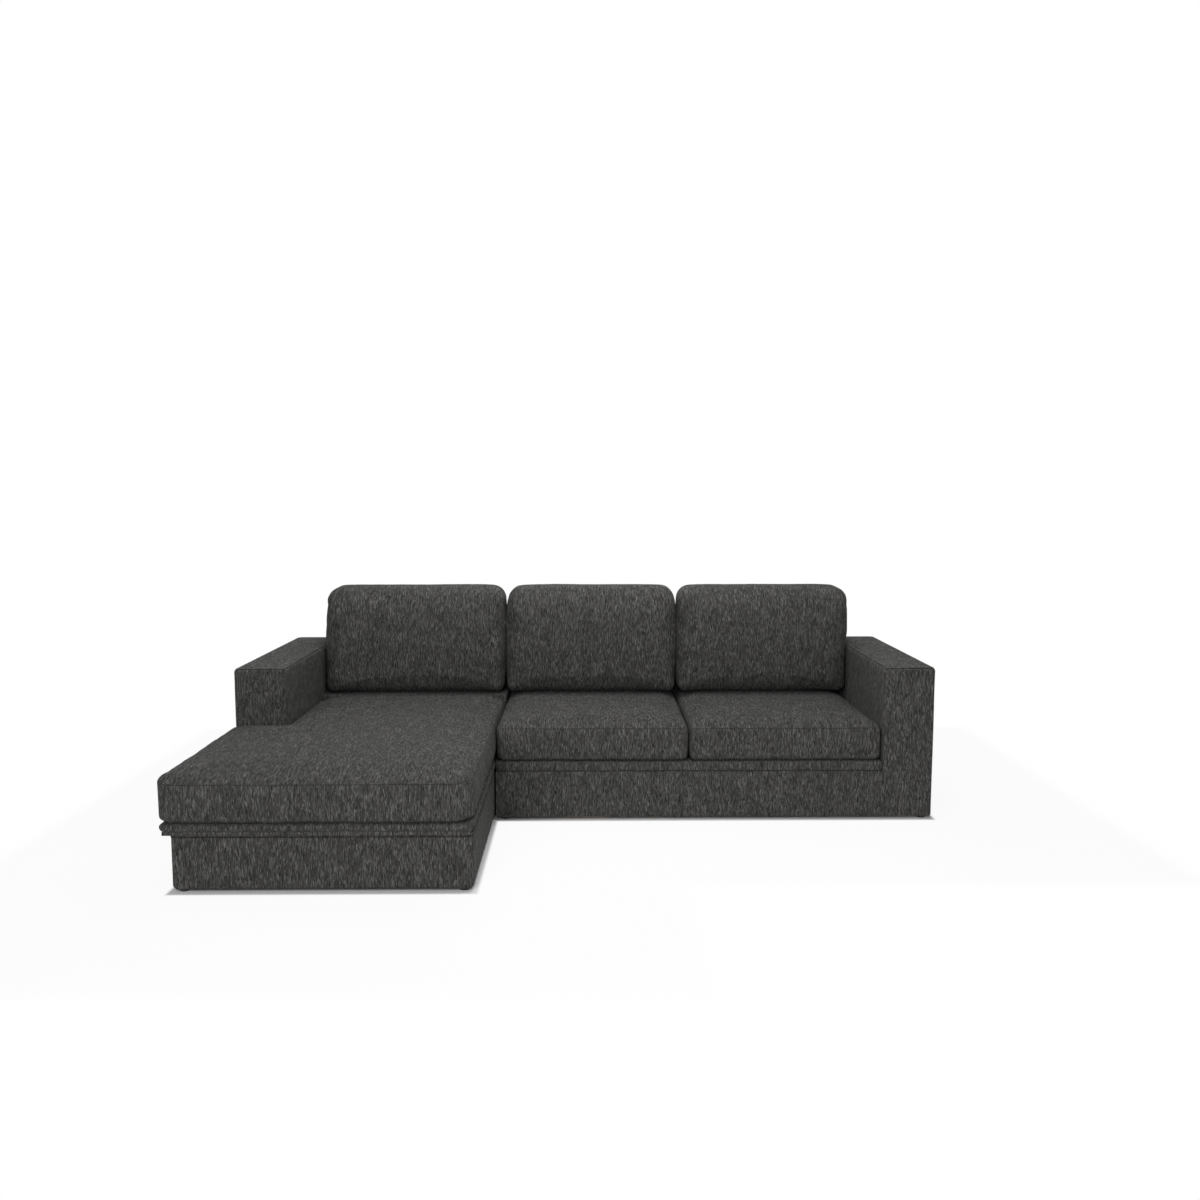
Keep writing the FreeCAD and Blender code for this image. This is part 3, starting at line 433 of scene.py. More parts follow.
def make_dust_cloth():
    """Thin non-woven cloth pressed with a grid of small dots."""
    material, tree, shader = new_material("dust_cloth_black", Sheen_Weight=0.15)
    split = split_vector(tree, own_place(tree))
    across = wave_along(tree, split[0], DOT_PITCH)
    along = wave_along(tree, split[1], DOT_PITCH)
    dots = ease(tree, times(tree, across, along), 0.45, 0.85)
    fibres = cloud(tree, own_place(tree), 420.0, 4.0, 0.7)
    tone = blend_colours(tree, fibres, (0.012, 0.012, 0.013), (0.035, 0.035, 0.037))
    feed(tree, shader.inputs["Base Color"], blend_colours(tree, dots, tone, (0.008, 0.008, 0.008)))
    shader.inputs["Roughness"].default_value = 0.88
    raise_surface(tree, shader, minus(tree, fibres, dots), 0.4, 0.0004)
    return material


def paint(item, material):
    """Give every face of a piece or a solid one material."""
    if not item.material_slots:
        item.data.materials.append(material)
    for slot in item.material_slots:
        slot.link = "OBJECT"
        slot.material = material


# Mesh building helpers

SAME_PLACE = 1e-5
SMOOTH_ANGLE = 0.6
FIELD = 0.05
SOFTNESS = 0.0012
# A face looks straight along an axis when its normal passes this.
STRAIGHT = 0.999
# The places of the weave where the lid's cloth and each seam cord's cloth are cut
LID_CUT = 6
CORD_CUT = 9


def add_object(name, data):
    item = bpy.data.objects.new(name, data)
    bpy.context.scene.collection.objects.link(item)
    return item


def shade_smooth(mesh):
    mesh.polygons.foreach_set("use_smooth", [True] * len(mesh.polygons))


def vectors_of(items, field):
    """A three-part field of every item of a mesh, as rows."""
    flat = np.empty(len(items) * 3)
    items.foreach_get(field, flat)
    return flat.reshape(-1, 3)


def places_of(mesh):
    return vectors_of(mesh.vertices, "co")


def move_to(mesh, places):
    mesh.vertices.foreach_set("co", np.asarray(places, dtype=float).ravel())
    mesh.update()


def search_tree(points):
    """A tree that finds the nearest of some points."""
    tree = kdtree.KDTree(len(points))
    for index, point in enumerate(points):
        tree.insert(point, index)
    tree.balance()
    return tree


def corners_of(*nodes):
    """The lowest and highest corners of several solids together."""
    boxes = [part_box(node) for node in nodes]
    low = [min(box[0][axis] for box in boxes) for axis in range(3)]
    high = [max(box[1][axis] for box in boxes) for axis in range(3)]
    return low, high


def shell_of_cells(x_breaks, y_breaks, z_breaks, filled):
    """The closed skin round the filled cells of a three-way grid."""
    form = bmesh.new()
    breaks = (x_breaks, y_breaks, z_breaks)
    known = {}

    def corner(key):
        if key not in known:
            known[key] = form.verts.new([breaks[axis][key[axis]] for axis in range(3)])
        return known[key]

    for cell in filled:
        for axis in range(3):
            others = [other for other in range(3) if other != axis]
            for side in (0, 1):
                beyond = list(cell)
                beyond[axis] += 1 if side else -1
                if tuple(beyond) in filled:
                    continue
                ring = []
                for first, second in ((0, 0), (1, 0), (1, 1), (0, 1)):
                    key = list(cell)
                    key[axis] += side
                    key[others[0]] += first
                    key[others[1]] += second
                    ring.append(corner(tuple(key)))
                form.faces.new(ring)
    bmesh.ops.recalc_face_normals(form, faces=form.faces)
    return form


def near(value, target):
    return abs(value - target) < SAME_PLACE


def turned_edges(form, test):
    """Edges where the skin turns a corner, whose two ends both pass the test."""
    found = []
    for edge in form.edges:
        if len(edge.link_faces) == 2 and edge.calc_face_angle(0.0) > 0.3:
            if all(test(vert.co) for vert in edge.verts):
                found.append(edge)
    return found


def round_corners(form, radius, segments, test, along=None):
    """Round the skin's corner edges that pass the test, along one axis alone if it is given."""
    edges = turned_edges(form, test)
    if along is not None:
        others = [axis for axis in range(3) if axis != along]
        edges = [edge for edge in edges if all(
            near(edge.verts[0].co[axis], edge.verts[1].co[axis]) for axis in others
        )]
    if not edges:
        raise RuntimeError("no edge to round")
    bmesh.ops.bevel(
        form, geom=edges, offset=radius, segments=segments, profile=0.5, affect="EDGES",
        offset_type="OFFSET", clamp_overlap=False,
    )


def open_faces(form, test):
    """Take away the faces that nobody sees and that cover nothing."""
    gone = [face for face in form.faces if test(face.calc_center_median(), face.normal)]
    bmesh.ops.delete(form, geom=gone, context="FACES")


def slice_form(form, axis, places, keep=None):
    """Cut the skin's faces at several places along an axis, without taking anything away."""
    normal = Vector((0, 0, 0))
    normal[axis] = 1
    for place in places:
        point = normal * place
        faces = [
            face for face in form.faces if keep is None or keep(face.calc_center_median(), face.normal)
        ]
        geometry = list({item for face in faces for item in (*face.verts, *face.edges)}) + faces
        bmesh.ops.bisect_plane(form, geom=geometry, plane_co=point, plane_no=normal, dist=1e-6)


def grid_places(low, high, step):
    count = max(1, round((high - low) / step))
    return [low + (high - low) * index / count for index in range(1, count)]


def refine(form, step=FIELD):
    """Cut the skin into roughly square fields so that it can be softened."""
    for axis in range(3):
        low = min(vert.co[axis] for vert in form.verts)
        high = max(vert.co[axis] for vert in form.verts)
        slice_form(form, axis, grid_places(low, high, step))


def sew(form, axis, place, sizes, keep):
    """Draw a seam into the skin along a plane, only on the faces that keep allows, and mark it to be darkened
    with painted shade.
    """
    shade = form.verts.layers.float.get("seam") or form.verts.layers.float.new("seam")
    steps = (-1.0, -0.35, 0.0, 0.35, 1.0)
    slice_form(form, axis, [place + sizes.seam_width * step for step in steps], keep)
    form.normal_update()
    for vert in form.verts:
        if near(vert.co[axis], place) and any(
            keep(face.calc_center_median(), face.normal) for face in vert.link_faces
        ):
            # Mark the seam for painted shade in the cloth's colour
            vert[shade] = 1.0
            vert.co -= vert.normal * sizes.seam_depth


def noise_shift(seed):
    """A place in the noise of its own for each seed."""
    return Vector((seed * 3.7, seed * 1.9, seed * 5.3))


def soften(form, height, seed, scale=5.0):
    """Small swells and hollows, as padding under cloth has."""
    form.normal_update()
    shift = noise_shift(seed)
    moves = []
    for vert in form.verts:
        broad = noise.noise(vert.co * scale + shift)
        fine = noise.noise(vert.co * scale * 4 + shift)
        moves.append(vert.normal * height * (broad + 0.4 * fine))
    for vert, move in zip(form.verts, moves):
        vert.co += move


def finish_form(form, name, thickness=0.0):
    """Turn a skin into a piece, with a wall of its own if it is open."""
    bmesh.ops.remove_doubles(form, verts=form.verts, dist=1e-6)
    bmesh.ops.dissolve_degenerate(form, edges=form.edges, dist=1e-6)
    mesh = bpy.data.meshes.new(name)
    form.to_mesh(mesh)
    form.free()
    piece = add_object(name, mesh)
    if thickness:
        wall = piece.modifiers.new("wall", "SOLIDIFY")
        wall.thickness = thickness
        wall.offset = -1.0
        wall.use_even_offset = True
        bake_modifiers(piece)
    shade_smooth(piece.data)
    piece.data.set_sharp_from_angle(angle=SMOOTH_ANGLE)
    return piece


def bake_modifiers(piece):
    """Replace a piece's mesh by the one that its modifiers make."""
    graph = bpy.context.evaluated_depsgraph_get()
    mesh = bpy.data.meshes.new_from_object(
        piece.evaluated_get(graph), preserve_all_data_layers=True, depsgraph=graph
    )
    old = piece.data
    piece.modifiers.clear()
    piece.data = mesh
    mesh.name = piece.name
    bpy.data.meshes.remove(old)


def lay_weave(piece, cut=0):
    """Lay the cloth on the piece: upright on its sides and front to back on its top. cut shifts it."""
    mesh = piece.data
    old = mesh.uv_layers.get("weave")
    if old:
        mesh.uv_layers.remove(old)
    layer = mesh.uv_layers.new(name="weave")
    places = places_of(mesh)
    normals = np.abs(vectors_of(mesh.polygons, "normal"))
    sizes = np.empty(len(mesh.polygons), dtype=np.int64)
    mesh.polygons.foreach_get("loop_total", sizes)
    corner_vertex = np.empty(len(mesh.loops), dtype=np.int64)
    mesh.loops.foreach_get("vertex_index", corner_vertex)
    facing = np.repeat(normals.argmax(axis=1), sizes)
    spots = places[corner_vertex]
    across = np.where(facing == 0, spots[:, 1], spots[:, 0])
    along = np.where(facing == 2, spots[:, 1], spots[:, 2])
    along = along + np.where(facing == 2, 3.0, 0.0) + cut * 0.77
    across = across + facing * 1.31 + cut * 0.43
    layer.data.foreach_set("uv", np.column_stack((across, along)).ravel())


def dress(piece, body, slot, material, *nodes):
    """Finish a piece: its named material, the body it rides on and the solids it stands for."""
    paint(piece, bpy.data.materials[material])
    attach(piece, body)
    if nodes:
        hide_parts(*nodes)
    return piece


def finish_cover(form, name, body, cut, thickness, *nodes):
    """Turn a skin into a piece of tweed that rides on a body and stands for some solids."""
    piece = finish_form(form, name, thickness)
    lay_weave(piece, cut)
    return dress(piece, body, "upholstery", "tweed", *nodes)


# Seam cords and stitches

def new_geometry(name, others, numbers):
    """A geometry tree whose inputs are a geometry, some others and some plain numbers."""
    inputs = [("Geometry", "NodeSocketGeometry", None)]
    inputs += [(label, kind, None) for label, kind in others]
    inputs += [(label, "NodeSocketFloat", None) for label in numbers]
    return new_group(name, inputs, [("Geometry", "NodeSocketGeometry")], "GeometryNodeTree")


def join_instances(tree, result, instances, material):
    """Turn instances into one geometry of a single material, and hand it on as the result."""
    real = add_node(tree, "GeometryNodeRealizeInstances")
    feed(tree, real.inputs[0], instances)
    painted = add_node(tree, "GeometryNodeSetMaterial")
    feed(tree, painted.inputs["Geometry"], real.outputs[0])
    painted.inputs["Material"].default_value = material
    feed(tree, result[0], painted.outputs[0])
    return tree


def curve_through(name, runs, closed=False):
    curve = bpy.data.curves.new(name, "CURVE")
    curve.dimensions = "3D"
    for run in runs:
        spline = curve.splines.new("POLY")
        spline.points.add(len(run) - 1)
        for point, place in zip(spline.points, run):
            point.co = (*place, 1.0)
        spline.use_cyclic_u = closed
    return add_object(name, curve)


def as_mesh_piece(item, name):
    """A plain mesh piece from what an object's modifiers or bevel make. The object goes."""
    graph = bpy.context.evaluated_depsgraph_get()
    mesh = bpy.data.meshes.new_from_object(item.evaluated_get(graph), depsgraph=graph)
    mesh.name = name
    bpy.data.objects.remove(item)
    return add_object(name, mesh)


def lay_seam_cord(name, runs, radius, body, closed=True):
    """The folded edge of the cloth along a seam, in darker cloth that paints the fold's shade."""
    item = curve_through(name, runs, closed)
    item.data.bevel_depth = radius
    item.data.bevel_resolution = 1
    item.data.use_fill_caps = not closed
    piece = as_mesh_piece(item, name)
    shade_smooth(piece.data)
    lay_weave(piece, CORD_CUT)
    return dress(piece, body, "upholstery", "tweed_fold")


def make_stitch_tree(material):
    """Small sunk stitches, strung along every curve of the object."""
    tree, given, result = new_geometry("stitches", (), ("Pitch", "Stitch length", "Thread radius"))
    spread = add_node(tree, "GeometryNodeResampleCurve", mode="LENGTH")
    feed(tree, spread.inputs["Curve"], given["Geometry"])
    feed(tree, spread.inputs["Length"], given["Pitch"])
    stitch = add_node(tree, "GeometryNodeMeshUVSphere")
    feed(tree, stitch.inputs["Segments"], 5)
    feed(tree, stitch.inputs["Rings"], 4)
    feed(tree, stitch.inputs["Radius"], 1.0)
    size = add_node(tree, "ShaderNodeCombineXYZ")
    feed(tree, size.inputs[0], given["Thread radius"])
    feed(tree, size.inputs[1], given["Thread radius"])
    feed(tree, size.inputs[2], times(tree, given["Stitch length"], 0.5))
    turn = add_node(tree, "FunctionNodeAlignRotationToVector", axis="Z")
    feed(tree, turn.inputs["Vector"], add_node(tree, "GeometryNodeInputTangent").outputs[0])
    place = add_node(tree, "GeometryNodeInstanceOnPoints")
    feed(tree, place.inputs["Points"], spread.outputs[0])
    feed(tree, place.inputs["Instance"], stitch.outputs["Mesh"])
    feed(tree, place.inputs["Rotation"], turn.outputs[0])
    feed(tree, place.inputs["Scale"], size.outputs[0])
    return join_instances(tree, result, place.outputs[0], material)


def give_tree(item, tree, values):
    """Put a tree on an object as a modifier, with each named input set by its identifier."""
    modifier = item.modifiers.new(tree.name, "NODES")
    modifier.node_group = tree
    for socket in tree.interface.items_tree:
        if socket.in_out == "INPUT" and socket.name in values:
            modifier[socket.identifier] = values[socket.name]
    return modifier


def sew_stitches(name, runs, body, closed=True):
    """One mesh of stitches along several runs, for one body."""
    sizes = bpy.context.scene.sofa_sizes
    item = curve_through(name, runs, closed)
    give_tree(item, bpy.data.node_groups["stitches"], {
        "Pitch": sizes.stitch_pitch,
        "Stitch length": sizes.stitch_length,
        "Thread radius": sizes.thread_radius,
    })
    piece = as_mesh_piece(item, name)
    return dress(piece, body, "upholstery", "sewing_thread")


# Cushions

EDGE_SAMPLE = 0.004
RUN_STEP = 0.012
SWELLING_FRAMES = 16
UNEVENNESS = 0.0022
RIPPLE_END = 0.14
RIPPLE_REACH = 0.045
GROOVE_WIDTH = 0.0055
# Width of the painted shade along a cushion seam
SHADE_WIDTH = 0.0035
# How steeply a cushion's top falls to its edges, and how deep its seam cord lies
FALL_POWER = 2.3
CORD_SUNK = -0.0006
STITCH_ASIDE = 0.007
# How far a cushion may swell past its own solid, forwards and upwards, and over the lid and the arm
FRONT_BULGE = 0.006
CROWN = 0.02
CHAISE_LEFT_BULGE = 0.016
OVER_ARM = 0.020
BACK_LEAN = 0.052
# The gaps that the chaise cushion and the lid keep from the left arm, to its side and in front
ARM_SIDE_GAP = 0.002
ARM_FRONT_GAP = 0.004
# How much smaller than its cover a filling is
FOAM_INSET = 0.012
FIBRE_INSET = 0.014
# Radius of each kind of seam cord
CUSHION_CORD = 0.0016
ARM_CORD = 0.0014
BOX_CORD = 0.0013


def round_outline(corners, radii, step):
    """Points round a closed outline whose corners are rounded, evenly close in the corners."""
    points = []
    count = len(corners)
    for index, (corner, radius) in enumerate(zip(corners, radii)):
        here = Vector(corner)
        back = (Vector(corners[index - 1]) - here).normalized()
        onward = (Vector(corners[(index + 1) % count]) - here).normalized()
        start = here + back * radius
        end = here + onward * radius
        middle = here + (back + onward) * radius
        parts = max(2, math.ceil(radius * math.pi / 2 / step))
        for part in range(parts + 1):
            angle = math.pi / 2 * part / parts
            points.append(middle + (start - middle) * math.cos(angle) + (end - middle) * math.sin(angle))
    return points


class Cushion:
    """One stuffed cushion, cut flat in its own plan and then blown up.

    Its own axes are across, along and up from the side it rests on. place turns them into the room.
    """

    def __init__(self, name, corners, radii, height, top, turn, body):
        self.name = name
        self.outline = round_outline(corners, radii, 0.012)
        self.height = height
        self.top = top
        self.turn = turn
        self.body = body

    def cut_blank(self, grain, edge):
        """A straight-sided blank with even faces. Its rest places are kept on the piece."""
        form = bmesh.new()
        ring = [form.verts.new((point.x, point.y, 0.0)) for point in self.outline]
        base = form.faces.new(ring)
        raised = bmesh.ops.extrude_face_region(form, geom=[base])
        for item in raised["geom"]:
            if isinstance(item, bmesh.types.BMVert):
                item.co.z = self.height
        bmesh.ops.recalc_face_normals(form, faces=form.faces)
        lower = turned_edges(form, lambda place: near(place.z, 0.0))
        bmesh.ops.bevel(form, geom=lower, offset=edge, segments=4, profile=0.5, affect="EDGES")
        self.piece = finish_form(form, self.name)
        cut = self.piece.modifiers.new("even_faces", "REMESH")
        cut.mode = "VOXEL"
        cut.voxel_size = grain
        bake_modifiers(self.piece)
        rest = places_of(self.piece.data)
        attribute = self.piece.data.attributes.new("rest_place", "FLOAT_VECTOR", "POINT")
        attribute.data.foreach_set("vector", rest.ravel())
        return rest

    def edge_distance(self, rest):
        """How far each rest place lies inside the outline, in plan."""
        loop = self.outline + self.outline[:1]
        samples = []
        for first, second in zip(loop, loop[1:]):
            parts = max(1, round((second - first).length / EDGE_SAMPLE))
            samples += [first.lerp(second, part / parts) for part in range(parts)]
        tree = search_tree([(sample.x, sample.y, 0.0) for sample in samples])
        return np.array([tree.find((place[0], place[1], 0.0))[2] for place in rest])

    def shape(self, rest, inside, inward):
        """Lower the blank's top towards its seams and draw it in a little."""
        shaped = rest.copy()
        shaped[:, 2] *= self.top(rest[:, :2], inside) / self.height
        middle = (rest[:, :2].min(axis=0) + rest[:, :2].max(axis=0)) / 2
        reach = (rest[:, :2].max(axis=0) - rest[:, :2].min(axis=0)) / 2
        shaped[:, :2] -= (rest[:, :2] - middle) / reach * inward
        return shaped

    def swell(self, held, pressure, cap):
        """Blow the piece up with cloth simulation, no further than the cap."""
        piece = self.piece
        before = places_of(piece.data)
        group = piece.vertex_groups.new(name="held")
        for index in np.flatnonzero(held > 0.01):
            group.add([int(index)], float(held[index]), "REPLACE")
        cloth = piece.modifiers.new("swelling", "CLOTH")
        settings = cloth.settings
        settings.quality = 3
        settings.mass = 0.3
        settings.tension_stiffness = 18
        settings.compression_stiffness = 18
        settings.bending_stiffness = 0.6
        settings.use_pressure = True
        settings.uniform_pressure_force = pressure
        settings.effector_weights.gravity = 0
        settings.vertex_group_mass = "held"
        cloth.collision_settings.use_collision = False
        cloth.point_cache.frame_start = 1
        cloth.point_cache.frame_end = SWELLING_FRAMES
        scene = bpy.context.scene
        for moment in range(1, SWELLING_FRAMES + 1):
            scene.frame_set(moment)
        graph = bpy.context.evaluated_depsgraph_get()
        after = places_of(piece.evaluated_get(graph).data)
        piece.modifiers.clear()
        piece.vertex_groups.clear()
        scene.frame_set(1)
        moves = after - before
        far = np.linalg.norm(moves, axis=1)
        most, mean = far.max() * 1000, far.mean() * 1000
        print(f"{self.name} swelled {most:.1f} mm at most, {mean:.1f} mm on average")
        eased = cap * np.tanh(far / cap) / np.maximum(far, 1e-9)
        move_to(piece.data, before + moves * eased[:, None])

    def subdivide(self):
        finer = self.piece.modifiers.new("finer", "SUBSURF")
        finer.levels = 1
        finer.render_levels = 1
        bake_modifiers(self.piece)
        self.rest = vectors_of(self.piece.data.attributes["rest_place"].data, "vector")

    def wrinkle(self, seam_distance, pucker, groove, seed):
        """Ripples that run out from the seams, broad unevenness, the seams drawn in, and painted shade along
        them.
        """
        mesh = self.piece.data
        places = places_of(mesh)
        normals = vectors_of(mesh.vertices, "normal")
        shift = Vector((seed * 1.7, seed * 4.1, seed * 2.3))
        lift = np.zeros(len(places))
        for index, place in enumerate(self.rest):
            spot = Vector(place)
            lift[index] = UNEVENNESS * noise.noise(spot * 5.5 + shift)
            if seam_distance[index] < RIPPLE_END:
                ripple = noise.noise(Vector((spot.x * 30, spot.y * 30, spot.z * 6)) + shift)
                lift[index] += pucker * ripple * math.exp(-seam_distance[index] / RIPPLE_REACH)
        lift -= groove * np.exp(-((seam_distance / GROOVE_WIDTH) ** 2))
        move_to(mesh, places + normals * lift[:, None])
        # Painted shade along the seams, strongest on the seam line
        shade = mesh.attributes.new("seam", "FLOAT", "POINT")
        shade.data.foreach_set("value", np.exp(-((seam_distance / SHADE_WIDTH) ** 2)) * 0.75)

    def settle(self, limit):
        """Hold the cushion inside the room that its neighbours leave, after turning it into place."""
        mesh = self.piece.data
        places = places_of(mesh)
        room = np.array(self.turn)
        places = places @ room[:3, :3].T + room[:3, 3]
        places = limit(places)
        move_to(mesh, places)
        mesh.attributes.remove(mesh.attributes["rest_place"])
        shade_smooth(mesh)
        self.finder = search_tree(self.rest)
        self.final = places
        self.normals = vectors_of(mesh.vertices, "normal")

    def carry(self, point, lift=0.0):
        """Where a point of the flat cut lies on the finished cushion."""
        total = np.zeros(3)
        facing = np.zeros(3)
        weight_sum = 0.0
        for place, index, gap in self.finder.find_n(point, 8):
            weight = math.exp(-((gap / 0.006) ** 2)) + 1e-9
            total += weight * self.final[index]
            facing += weight * self.normals[index]
            weight_sum += weight
        facing /= max(np.linalg.norm(facing), 1e-9)
        return total / weight_sum + facing * lift

    def run_round(self, inset, height, lift=0.0):
        """A run round the cushion at an inset from its outline and a height of the flat cut."""
        loop = self.outline + self.outline[:1]
        run = []
        for first, second in zip(loop, loop[1:]):
            parts = max(1, round((second - first).length / RUN_STEP))
            way = (second - first).normalized()
            inward = Vector((-way.y, way.x)) * inset
            for part in range(parts):
                spot = first.lerp(second, part / parts) + inward
                run.append(self.carry((spot.x, spot.y, height), lift))
        return run


def smooth_fall(distance, width, power):
    """1 at an edge and 0 where the cushion is at its full height."""
    return (1.0 - np.clip(distance / width, 0.0, 1.0)) ** power


def distance_to_run(places, first, second):
    """How far places in plan lie from a straight run between two points."""
    first = np.array(first)
    way = np.array(second) - first
    share = np.clip(((places - first) @ way) / (way @ way), 0.0, 1.0)
    return np.linalg.norm(places - (first + share[:, None] * way), axis=1)


def crowned_top(full, falls):
    """The height of a cushion over its plan: full in the middle, lower along the named edges."""
    def top(places, inside):
        lowest = np.zeros(len(places))
        for first, second, drop, width, power in falls:
            fall = drop * smooth_fall(distance_to_run(places, first, second), width, power)
            lowest += fall ** 3
        return full - np.cbrt(lowest)
    return top


def seat_room(low, high, crown_top, back_line):
    """Keeps a seat cushion in its room: flat below, against its neighbours and under the backs."""
    def limit(places):
        places[:, 0] = np.clip(places[:, 0], low[0], high[0])
        places[:, 1] = np.clip(places[:, 1], low[1] - FRONT_BULGE, high[1])
        under = np.clip((places[:, 1] - (back_line - 0.16)) / 0.14, 0.0, 1.0)
        under = under * under * (3 - 2 * under)
        ceiling = (crown_top + CROWN) * (1 - under) + crown_top * under
        places[:, 2] = np.clip(np.minimum(places[:, 2], ceiling), low[2], None)
        return places
    return limit


def stuff_cushion(cushion, sizes, pressure, swell, edge, seams, limit, seed):
    """Cut, swell, refine and sew one cushion. seams gives each rest place's distance to a seam."""
    rest = cushion.cut_blank(sizes.cushion_grain, edge)
    inside = cushion.edge_distance(rest)
    shaped = cushion.shape(rest, inside, 0.004)
    seam = seams(rest, inside)
    held = np.exp(-((seam / (sizes.cushion_grain * 0.8)) ** 2))
    held = np.maximum(held, np.where(rest[:, 2] < 0.004, 1.0, 0.0))
    move_to(cushion.piece.data, shaped)
    cushion.swell(held, pressure, swell)
    cushion.subdivide()
    inside = cushion.edge_distance(cushion.rest)
    cushion.wrinkle(seams(cushion.rest, inside), sizes.pucker, sizes.seam_depth, seed)
    cushion.settle(limit)
    lay_weave(cushion.piece, seed)
    return cushion


def core_of(cushion, name, depth, slot, material, node):
    """The filling: the cushion's own form, a little smaller and with fewer faces."""
    mesh = cushion.piece.data.copy()
    core = add_object(name, mesh)
    move_to(mesh, cushion.final - cushion.normals * depth)
    fewer = core.modifiers.new("fewer", "DECIMATE")
    fewer.ratio = 0.12
    bake_modifiers(core)
    for attribute in ("seam", "weave"):
        if core.data.attributes.get(attribute):
            core.data.attributes.remove(core.data.attributes[attribute])
    core.data.materials.clear()
    shade_smooth(core.data)
    dress(core, cushion.body, slot, material, node)


# Operators

# Where an arm's seams lie, as a share of its edge radius
ARM_SEAM_SHARE = 0.45
# How far below its top edge the chaise box is sewn
BOX_SEAM_DROP = 0.011
SPRING_HALF_WIDTH = 0.0325
SPRING_POINTS = 217
BEND_SHARPNESS = 1.9


class SofaStep(bpy.types.Operator):
    """One step of dressing the sofa"""
    bl_options = {"REGISTER", "UNDO"}


class SOFA_OT_finishes(SofaStep):
    """Makes every material of the sofa and paints the solids that stay"""
    bl_idname = "sofa.finishes"
    bl_label = "Make the finishes"

    def execute(self, context):
        colours = context.scene.sofa_colours
        tweed = make_tweed_group()
        grain = make_grain_group()
        worn = make_wear_group()
        yarns = (tuple(colours.dark_yarn), tuple(colours.mid_yarn), tuple(colours.light_yarn))
        make_cloth("tweed", tweed, yarns)
        # The seam cords' cloth: the tweed darkened to about a third, as painted shade in the seam folds
        make_cloth("tweed_fold", tweed, yarns, 0.35)
        thread = colours.thread
        make_worn("sewing_thread", worn, thread, scaled(thread, 1.6), (0.7, 0.9), 0.0, 900.0)
        pale = tuple(colours.board)
        rail = tuple(colours.rail)
        foam = colours.foam
        finishes = {
            "board_wood": make_wood("birch_board", grain, pale, scaled(pale, 0.72), 1.0),
            "rail_wood": make_wood("pine_rail", grain, rail, scaled(rail, 0.62), 2.2),
            "foam": make_porous("cushion_foam", foam, scaled(foam, 0.6), 700.0, 0.0012),
            "fibre": make_porous("fibre_filling", (0.86, 0.86, 0.84), (0.66, 0.66, 0.64), 260.0, 0.003),
            "dust_cloth": make_dust_cloth(),
        }
        # Base colour, scuff colour, lowest and highest roughness, metal or not
        plain = {
            "spring_wire": ((0.33, 0.33, 0.34), (0.2, 0.19, 0.18), (0.28, 0.45), 1.0),
            "clip_steel": ((0.55, 0.55, 0.56), (0.36, 0.35, 0.33), (0.3, 0.5), 1.0),
            "link_steel": ((0.46, 0.47, 0.49), (0.3, 0.3, 0.3), (0.25, 0.42), 1.0),
            "strut_paint": ((0.014, 0.014, 0.015), (0.05, 0.05, 0.05), (0.35, 0.5), 0.0),
            "strut_chrome": ((0.74, 0.75, 0.77), (0.55, 0.55, 0.56), (0.06, 0.14), 1.0),
            "foot_plastic": ((0.017, 0.017, 0.018), (0.06, 0.06, 0.06), (0.45, 0.65), 0.0),
        }
        for name, look in plain.items():
            more = {"Coat_Weight": 0.3} if name == "strut_paint" else {}
            finishes[name] = make_worn(name, worn, *look, **more)
        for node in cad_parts.values():
            slot = node.material_slots[0].material.name.split(".")[0]
            if slot in finishes:
                paint(node, finishes[slot])
        make_stitch_tree(bpy.data.materials["sewing_thread"])
        return {"FINISHED"}


class SOFA_OT_left_arm(SofaStep):
    """Covers the left arm, with a seamed top panel"""
    bl_idname = "sofa.left_arm"
    bl_label = "Cover the left arm"

    def execute(self, context):
        sizes = context.scene.sofa_sizes
        low, high = corners_of("left_arm_top_cover", "left_arm_outer_cover")
        form = shell_of_cells((low[0], high[0]), (low[1], high[1]), (low[2], high[2]), {(0, 0, 0)})
        round_corners(form, sizes.arm_rear_radius, 6, lambda place: (
            near(place.x, low[0]) and near(place.y, high[1])
        ), 2)
        round_corners(form, sizes.edge_radius, 4, lambda place: near(place.y, low[1]), 2)
        round_corners(form, sizes.edge_radius, 4, lambda place: near(place.z, high[2]))
        round_corners(form, sizes.bottom_radius, 3, lambda place: near(place.z, low[2]))
        open_faces(form, lambda middle, normal: normal.z < -STRAIGHT)
        refine(form)
        finish_arm(form, sizes, low, high, high[0] - sizes.edge_radius * ARM_SEAM_SHARE, 1)
        finish_cover(
            form, "left_arm_upholstery", "sofa", 1, sizes.cover_thickness,
            "left_arm_top_cover", "left_arm_outer_cover", "left_arm_inner_cover", "left_arm_front_cover",
        )
        return {"FINISHED"}


def finish_arm(form, sizes, low, high, inner_seam, seed):
    """Seams along the front and inner edges of an arm's top panel, and softness all over."""
    front_seam = low[1] + sizes.edge_radius * ARM_SEAM_SHARE
    soften(form, SOFTNESS, seed)
    sew(form, 1, front_seam, sizes, lambda middle, normal: (
        normal.z > 0.35 and middle.z > high[2] - 0.03
        and middle.y < low[1] + 0.05 and low[0] <= middle.x <= high[0]
    ))
    sew(form, 0, inner_seam, sizes, lambda middle, normal: (
        normal.z > 0.35 and middle.z > high[2] - 0.03 and abs(middle.x - inner_seam) < 0.03
    ))


